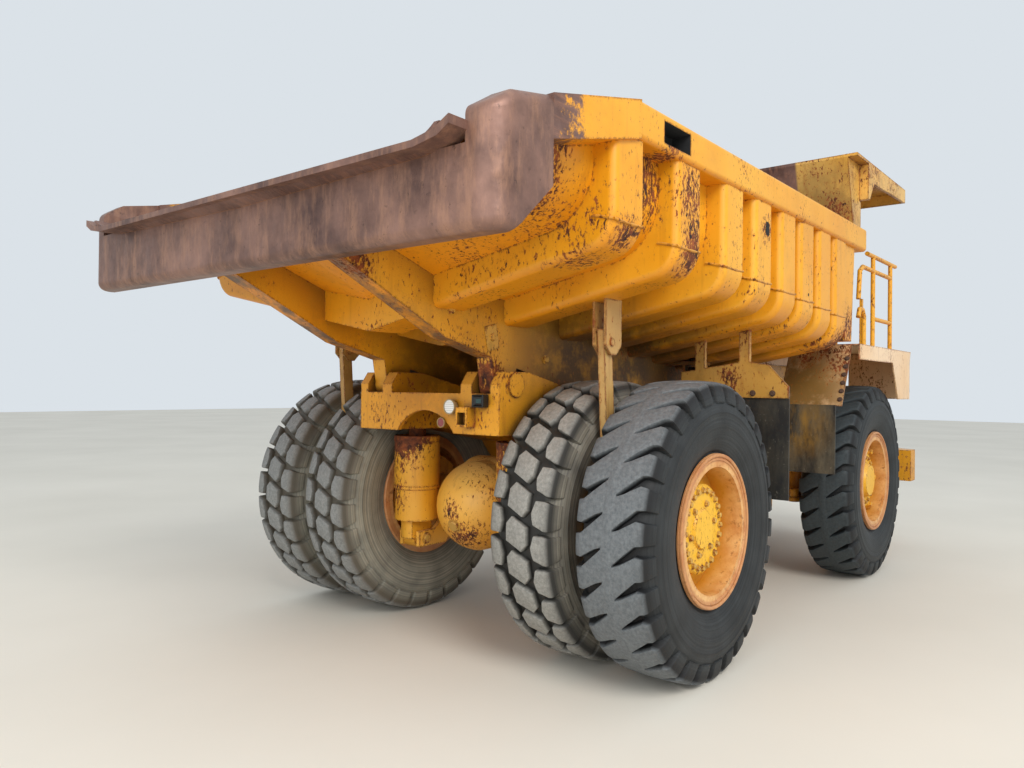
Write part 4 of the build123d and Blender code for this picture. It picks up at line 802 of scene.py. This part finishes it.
def wheel_enamel(name, centre, deep):
    """Yellow hub and well and rust-orange rim, split by the distance from the axle and the depth."""
    paint = new_material(name)
    hub, rough, bump = enamel_layers(paint, "F0AE08", "F4BE30", "E09E12", chips=0.6, dirt=0.15, streaks=0.15)
    place = object_place(paint)
    away, radius = round_axle(paint, place, centre)
    swirl = noise(paint, place, 7, 8, 0.7)
    rim = mixed(paint, share_of(paint, swirl, 0.35, 0.65), "C68546", "E8B877")
    rim = mixed(paint, share_of(paint, noise(paint, place, 21, 7, 0.75), 0.55, 0.66, 0.85), rim, RIM_RUST)
    rim = mixed(paint, share_of(paint, radius, RIM_R, RIM_R + 0.015, 0.55), rim, FLANGE_RUST)
    depth = maths(paint, "ABSOLUTE", split(paint, away)["Y"], 0.0)
    depth = maths(paint, "ADD", depth, maths(paint, "MULTIPLY", noise(paint, place, 3.0, 5), 0.16))
    rim = mixed(paint, share_of(paint, depth, deep + 0.10, deep - 0.02, 0.85), rim, WELL_YELLOW)
    edge = maths(paint, "ADD", radius, maths(paint, "MULTIPLY", swirl, 0.06))
    colour = mixed(paint, share_of(paint, edge, 0.335, 0.40), hub, rim)
    return finish_material(paint, surface(paint, colour, rough, bump))


def open_with_faces(piece, wanted):
    """Open the active piece's mesh with only the wanted faces selected."""
    open_mesh("DESELECT")
    close_mesh()
    for face in piece.data.polygons:
        face.select = wanted(face)
    open_mesh()


def hexagon_bolt(name, across, tall):
    """A bolt head on its washer, along +Z: a six-sided prism with a turned-down top edge."""
    washer = new_piece("washer", bpy.ops.mesh.primitive_cylinder_add, vertices=18, radius=across * 0.72,
                       depth=tall * 0.25, location=(0, 0, tall * 0.125))
    bpy.ops.object.transform_apply(location=True)
    head = new_piece("head", bpy.ops.mesh.primitive_cylinder_add, vertices=6, radius=across / math.sqrt(3),
                     depth=tall, location=(0, 0, tall * 0.5))
    bpy.ops.object.transform_apply(location=True)
    open_with_faces(head, lambda face: face.normal.z > 0.9)
    bpy.ops.mesh.bevel(offset=across * 0.07, segments=1, affect="EDGES")
    close_mesh()
    return joined(name, [head, washer], 30)


def fastened(name, fastener, places, direction, finish, slot, body, first=0.0, spin=0.7):
    """Copies of a fastener at places, each turned on from the last, joined into one piece on a body."""
    turn = Vector(direction).to_track_quat("Z", "Y").to_matrix().to_4x4()
    copies = []
    for index, place in enumerate(places):
        copy = fresh_copy(fastener, name)
        copy.data.transform(Matrix.Translation(place) @ turn @ Matrix.Rotation(first + index * spin, 4, "Z"))
        copies.append(copy)
    hand_over(joined(name, copies, 30), finish, slot, body)


def ring_places(axle_x, y, radius, count, start=0.0):
    """Points round a wheel's axle line."""
    turns = [(step + start) * math.tau / count for step in range(count)]
    return [(axle_x + radius * math.sin(t), y, AXLE_Z + radius * math.cos(t)) for t in turns]


def box(name, centre, size):
    """A box with its mesh laid in place."""
    piece = new_piece(name, bpy.ops.mesh.primitive_cube_add, size=1)
    for vertex in piece.data.vertices:
        vertex.co = [middle + share * span for middle, share, span in zip(centre, vertex.co, size)]
    return piece


def round_edges(offset, segments=2):
    """Bevel every edge of the active piece."""
    open_mesh("SELECT")
    bpy.ops.mesh.bevel(offset=offset, segments=segments, affect="EDGES")
    close_mesh()


def wedge_clamp(name):
    """A rim clamp along +Z: a tapered block with rounded edges, drawn down by its nut."""
    block = box("block", (0, 0, 0.028), (0.085, 0.105, 0.056))
    for vertex in block.data.vertices:
        if vertex.co.z > 0.028:
            vertex.co.x *= 0.7
            vertex.co.y *= 0.7
    round_edges(0.006)
    nut = hexagon_bolt("nut", across=0.046, tall=0.030)
    nut.data.transform(Matrix.Translation((0, 0, 0.054)))
    return joined(name, [block, nut], 30)


hub_bolt = hexagon_bolt("hub_bolt", across=0.030, tall=0.020)
clamp = wedge_clamp("rim_clamp")
bolt_paint = worn_enamel("bolt_enamel", "D9A030", "E4B654", "A8741C", chips=0.65, dirt=0.75, streaks=0.1)
for side, hand in SIDES:
    rear = (REAR_AXLE_X, side * REAR_WHEEL_Y, AXLE_Z)
    front = (FRONT_AXLE_X, side * FRONT_TYRE_Y, AXLE_Z)
    outward = (0, side, 0)
    rear_body = "wheels_rear_" + hand
    front_body = "wheel_front_" + hand
    rear_enamel = wheel_enamel("rear_wheel_enamel_" + hand, rear, deep=0.48)
    front_enamel = wheel_enamel("front_wheel_enamel_" + hand, front, deep=0.17)
    dress(rear_enamel, "rear_wheels_" + hand)
    dress(front_enamel, "front_wheel_" + hand)
    places = ring_places(REAR_AXLE_X, side * REAR_HUB_Y, radius=0.245, count=24)
    places += ring_places(REAR_AXLE_X, side * REAR_HUB_Y, radius=0.165, count=6, start=0.3)
    fastened("rear_hub_bolts_" + hand, hub_bolt, places, outward, bolt_paint, "rim_paint", rear_body)
    places = ring_places(FRONT_AXLE_X, side * FRONT_HUB_Y, radius=0.222, count=16)
    fastened("front_hub_bolts_" + hand, hub_bolt, places, outward, bolt_paint, "rim_paint", front_body)
    places = ring_places(FRONT_AXLE_X, side * CLAMP_Y, 0.343, CLAMPS, CLAMP_START)
    fastened("front_rim_clamps_" + hand, clamp, places, outward, front_enamel, "rim_paint", front_body,
             first=side * CLAMP_START * math.tau / CLAMPS, spin=side * math.tau / CLAMPS)
    for axle, centre, finish, body in (
            ("rear", (REAR_AXLE_X, side * OUTER_TYRE_Y, AXLE_Z), rear_enamel, rear_body),
            ("front", front, front_enamel, front_body)):
        rings = [spun("bead_flange", BEAD_FLANGE, 72), spun("lock_ring", LOCK_RING, 72)]
        ring = joined(axle + "_lock_rings_" + hand, rings, 30)
        turn = Matrix.Rotation(0.0 if side > 0 else math.pi, 4, "Z")
        ring.data.transform(Matrix.Translation(centre) @ turn)
        hand_over(ring, finish, "rim_paint", body)


# Beam and axle fastenings: round inspection plugs and small bolted plates on the body's long beams, and
# the oil plug on the back of the axle housing.
PLUG_Y = 0.5851
PLUG_PLACES = [(-2.48, 2.145), (-2.86, 2.30), (-1.9, 2.02)]
COVER_Y = 0.5885
COVER_SIZE = (0.115, 0.008, 0.160)
BEAM_TILT = -0.24
plug = hexagon_bolt("beam_plug", across=0.046, tall=0.020)
for side, hand in SIDES:
    fastened("beam_plugs_" + hand, plug, [(x, side * PLUG_Y, z) for x, z in PLUG_PLACES], (0, side, 0),
             bolt_paint, "yellow_paint", "dump_body")
for side, hand in SIDES:
    plate = box("beam_cover_plate_" + hand, (0, 0, 0), COVER_SIZE)
    tilt = Matrix.Translation((-2.480, side * COVER_Y, 2.145)) @ Matrix.Rotation(BEAM_TILT, 4, "Y")
    plate.data.transform(tilt)
    round_edges(0.003)
    hand_over(plate, bolt_paint, "yellow_paint", "dump_body")
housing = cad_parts["rear_axle_housing"]
drain_place, drain_facing = housing.ray_cast((-3.5, -0.02, 0.82), (1, 0, 0))[1:3]
drain_plug = hexagon_bolt("drain_plug", across=0.075, tall=0.022)
fastened("axle_drain_plug", drain_plug, [drain_place - 0.006 * drain_facing], drain_facing, bolt_paint,
         "frame_paint", "chassis")
for template in (drain_plug, clamp, hub_bolt, plug):
    bpy.data.objects.remove(template)


# Exhaust slots: the body is warmed by exhaust gas, which leaves through a slot in each top rail, so a
# folded liner inside each one is black with soot.
LINER_X = -2.400
LINER_Y = 1.8095
LINER_Z = 3.210
soot = plain("exhaust_soot", "0A0B0D", 0.85, mottle=0.4, scale=25)
for side, hand in SIDES:
    liner = box("exhaust_liner_" + hand, (LINER_X, side * LINER_Y, LINER_Z), (0.308, side * 0.117, 0.118))
    outermost = max(abs(face.center.y) for face in liner.data.polygons)
    open_with_faces(liner, lambda face: abs(face.center.y) == outermost)
    bpy.ops.mesh.delete(type="FACE")
    bpy.ops.mesh.select_all(action="SELECT")
    bpy.ops.mesh.normals_make_consistent(inside=True)
    close_mesh()
    wall = liner.modifiers.new("wall", "SOLIDIFY")
    wall.thickness = 0.003
    wall.offset = 1
    edges = liner.modifiers.new("edges", "BEVEL")
    edges.width = 0.001
    bpy.ops.object.modifier_apply(modifier="wall")
    bpy.ops.object.modifier_apply(modifier="edges")
    open_mesh()
    close_mesh(outward=True)
    hand_over(liner, soot, "dark_steel", "dump_body")


# Strut sleeves and pins: each gas strut has a dust sleeve over its upper half, and hexagon keepers hold
# the pin through its foot eye. Stones have chipped both down to rust.
STRUT_X = -2.075
STRUT_Y = 0.52
KEEPER_OUT = 0.110
FOOT_EYE_Z = 0.660
SLEEVE = [(1.035, 0.1675), (1.035, 0.174), (1.038, 0.177), (1.060, 0.1775), (1.064, 0.1745), (1.400, 0.1745),
          (1.404, 0.1775), (1.4425, 0.1775), (1.4465, 0.173), (1.4465, 0.1675)]
pin_keeper = hexagon_bolt("pin_keeper", across=0.062, tall=0.026)
for side, hand in SIDES:
    sleeve = spun("strut_sleeve_" + hand, SLEEVE, 64)
    upright = Matrix.Rotation(math.pi / 2, 4, "X")
    sleeve.data.transform(Matrix.Translation((STRUT_X, side * STRUT_Y, 0)) @ upright)
    hand_over(joined(sleeve.name, [sleeve], 30), strut_paint, "yellow_paint", "chassis")
    for out in (-1, 1):
        place = (STRUT_X, side * (STRUT_Y + out * KEEPER_OUT), FOOT_EYE_Z)
        fastened("strut_foot_keeper_" + hand, pin_keeper, [place], (0, side * out, 0), bolt_paint,
                 "frame_paint", "chassis")
bpy.data.objects.remove(pin_keeper)


# Rear lamps and bumper lamps: pressed bowls with a rolled rim, a fluted clear lens in the round ones, a
# small red reflector, and one square black work lamp on the frame's rear web.
HEAD_LAMP_X = 4.025
HEAD_LAMP_Z = 0.970
WORK_LAMP_PLACE = (-2.535, -0.540, 1.7325)
WORK_LAMP_SIZE = (0.060, 0.100, 0.085)
lamp_bowl = plain("lamp_bowl_enamel", "8D7A55", 0.5, mottle=0.4, scale=60)


def lamp(name, centre, lens, radius, deep, ahead=False):
    """A round lamp that faces back or ahead: a turned bowl with a rim, and a domed lens set into it."""
    shell = spun(name + "_bowl", [
        (-deep, 0.0001), (-deep, radius * 0.7), (-deep * 0.45, radius * 0.95), (-0.010, radius),
        (0.0, radius * 0.99), (0.0, radius * 0.88), (-0.006, radius * 0.86), (-0.008, 0.0001)], 40)
    dome = spun(name + "_lens", [(-0.007, 0.0001), (-0.007, radius * 0.87), (-0.004, radius * 0.85),
                                 (-0.0025, radius * 0.5), (-0.001, 0.0001)], 40)
    turn = Matrix.Rotation(-math.pi / 2 if ahead else math.pi / 2, 4, "Z")
    for piece, finish, slot in ((shell, lamp_bowl, "dark_steel"), (dome, lens, "lamp_glass")):
        piece.data.transform(Matrix.Translation(centre) @ turn)
        hand_over(joined(piece.name, [piece], 30), finish, slot, "chassis")
        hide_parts("lamps")


def fluted_lens(name, tint, flutes):
    """Pressed glass with vertical flutes."""
    glass = new_material(name)
    bands = add_node(glass, "ShaderNodeTexWave", {
        "Vector": object_place(glass), "Scale": flutes, "Distortion": 0.4},
        bands_direction="Z").outputs["Fac"]
    tone = mixed(glass, share_of(glass, bands, 0.2, 0.9, 0.35), tint, "8F9290")
    return finish_material(glass, surface(glass, tone, 0.12, bumped(glass, bands, 0.5, 0.002), coat=0.6))


clear_lens = fluted_lens("clear_fluted_glass", "F2F3F0", 22)
red_lens = fluted_lens("red_reflector", "8E1420", 60)
lamp("reverse_lamp", (-2.5555, -0.280, 1.690), clear_lens, radius=0.052, deep=0.050)
lamp("rear_reflector", (-2.5213, -0.170, 1.580), red_lens, radius=0.034, deep=0.016)
for place_y in (-1.140, -0.960, 0.960, 1.140):
    lamp("head_lamp_" + ("l" if place_y > 0 else "r") + str(int(abs(place_y) * 1000)),
         (HEAD_LAMP_X, place_y, HEAD_LAMP_Z), clear_lens, radius=0.078, deep=0.060, ahead=True)

work_lamp = box("square_work_lamp", WORK_LAMP_PLACE, WORK_LAMP_SIZE)
round_edges(0.008, segments=3)
open_with_faces(work_lamp, lambda face: face.normal.x < -0.99)
bpy.ops.mesh.inset(thickness=0.008)
bpy.ops.transform.translate(value=(0.010, 0, 0))
bpy.ops.mesh.inset(thickness=0.012)
bpy.ops.transform.translate(value=(0.004, 0, 0))
close_mesh()
hand_over(work_lamp, plain("lamp_housing_black", "0C0E10", 0.35), "dark_steel", "chassis")
work_lamp.data.materials.append(plain("dark_lens", "24403F", 0.08))
for face in work_lamp.data.polygons:
    if face.select:
        face.material_index = 1
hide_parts("lamps")


# Ejectors, flap plates and flaps: flame-cut bars and plates with rusty faces, and conveyor rubber that
# the wheels have dusted and the body has scraped.
FLAP_PLATE_X = -0.655
FLAP_BOLT_Z = 1.800
dress(worn_enamel("ejector_enamel", "B98F4E", "C9A566", "8A6A38", chips=1.5, dirt=0.75, streaks=1.0),
      "rock_ejectors")
dress(worn_enamel("flap_plate_enamel", "B98424", "C6984A", "9C6E20", chips=1.25, dirt=0.85, streaks=0.6,
                  rust_spots=[(0.95, -1.4, 2.1, 0.35), (-0.6, -1.4, 1.9, 0.15)]), "flap_brackets")


def dusty_rubber(name, dust, scrapes=()):
    """Black sheet rubber with splashed dust and, where the body rubs, smears of yellow paint."""
    rubber = new_material(name)
    place = object_place(rubber)
    tall = stretched(rubber, place, (3, 3, 1.1))
    dusty = share_of(rubber, noise(rubber, tall, 2, 7, 0.7), 0.38, 0.75, dust)
    colour = mixed(rubber, dusty, "1A1A1A", "8C8168")
    splashes = share_of(rubber, noise(rubber, place, 38, 7, 0.8), 0.60, 0.68, 0.45)
    colour = mixed(rubber, splashes, colour, "A39C8A")
    rubbed = share_of(rubber, noise(rubber, tall, 2.4, 6, 0.7), 0.40, 0.62, 0.8)
    for x, y, z, reach in scrapes:
        smear = maths(rubber, "MULTIPLY", nearness(rubber, place, (x, y, z), reach), rubbed)
        colour = mixed(rubber, smear, colour, "9C7424")
    waves = bumped(rubber, noise(rubber, place, 8, 5), 0.3, 0.006)
    return finish_material(rubber, surface(rubber, colour, 0.62, waves))


dress(dusty_rubber("rear_flap_rubber", 0.25), "rear_flaps")
dress(dusty_rubber("front_flap_rubber", 0.55, [(0.81, -1.42, 1.50, 0.34), (0.81, 1.42, 1.50, 0.34)]),
      "front_flaps")
rusty_bolt = plain("rusty_bolt_steel", "3C2618", 0.8, mottle=0.5, scale=90)
plate_bolt = hexagon_bolt("plate_bolt", across=0.032, tall=0.014)
for side, hand in SIDES:
    places = [(FLAP_PLATE_X, side * y, FLAP_BOLT_Z) for y in (1.44, 1.59, 1.74)]
    fastened("flap_plate_bolts_" + hand, plate_bolt, places, (-1, 0, 0), rusty_bolt, "yellow_paint",
             "dump_body")


# Decks, rails and cab: folded sheet and bent pipe, faded to peach where the sun and boots reach them.
# The cab has rubber-set tinted panes, a woven seat and a moulded dash.
DECK_PLATE_FOOT = (0.813, 1.690)
DECK_PLATE_TOP = (1.075, 2.180)
DECK_BOLT_Y = 1.765
dress(worn_enamel("deck_enamel", "EBC08C", "F3D4AE", "DDB480", chips=1.1, dirt=0.15, streaks=0.55,
                  soiled=[(0.90, -1.35, 2.02, 0.60, BROWN_DUST), (0.90, 1.35, 2.02, 0.60, BROWN_DUST),
                          (0.90, -0.85, 2.0, 0.60, OILY_MUD_AND_SHADE), (0.82, -1.45, 1.78, 0.60, "7A5C2A")],
                  rust_spots=[(0.95, -1.75, 2.1, 0.3), (1.05, -1.4, 2.25, 0.25)]), "front_decks")
dress(worn_enamel("cab_enamel", "E3A63A", "EBBB5E", "C08428", chips=0.9, dirt=0.25, streaks=0.4),
      "engine_hood", "cab_shell", "cab_door")
foot_x, foot_z = DECK_PLATE_FOOT
run = DECK_PLATE_TOP[0] - foot_x
rise = DECK_PLATE_TOP[1] - foot_z
for side, hand in SIDES:
    places = [(foot_x + share * run, side * DECK_BOLT_Y, foot_z + share * rise)
              for share in (0.12, 0.27, 0.42, 0.57, 0.72, 0.87)]
    fastened("deck_plate_bolts_" + hand, plate_bolt, places, (-rise, 0, run), rusty_bolt, "frame_paint",
             "chassis")
bpy.data.objects.remove(plate_bolt)
dress(worn_enamel("pipe_enamel", **GOLD, chips=1.0, dirt=0.2, streaks=0.1), "handrails", "ladders")
dress(plain("air_cleaner_black", "1C1C1D", 0.5, scale=30), "air_cleaners")
dress(plain("tinted_glass", "6E8084", 0.04, alpha=0.42), "cab_glass", "door_glass")
dress(plain("woven_seat_cloth", "1C1C20", 0.92, mottle=0.5, scale=400), "cab_seat")
dress(plain("moulded_dash_plastic", "17181A", 0.5, scale=220), "cab_console")
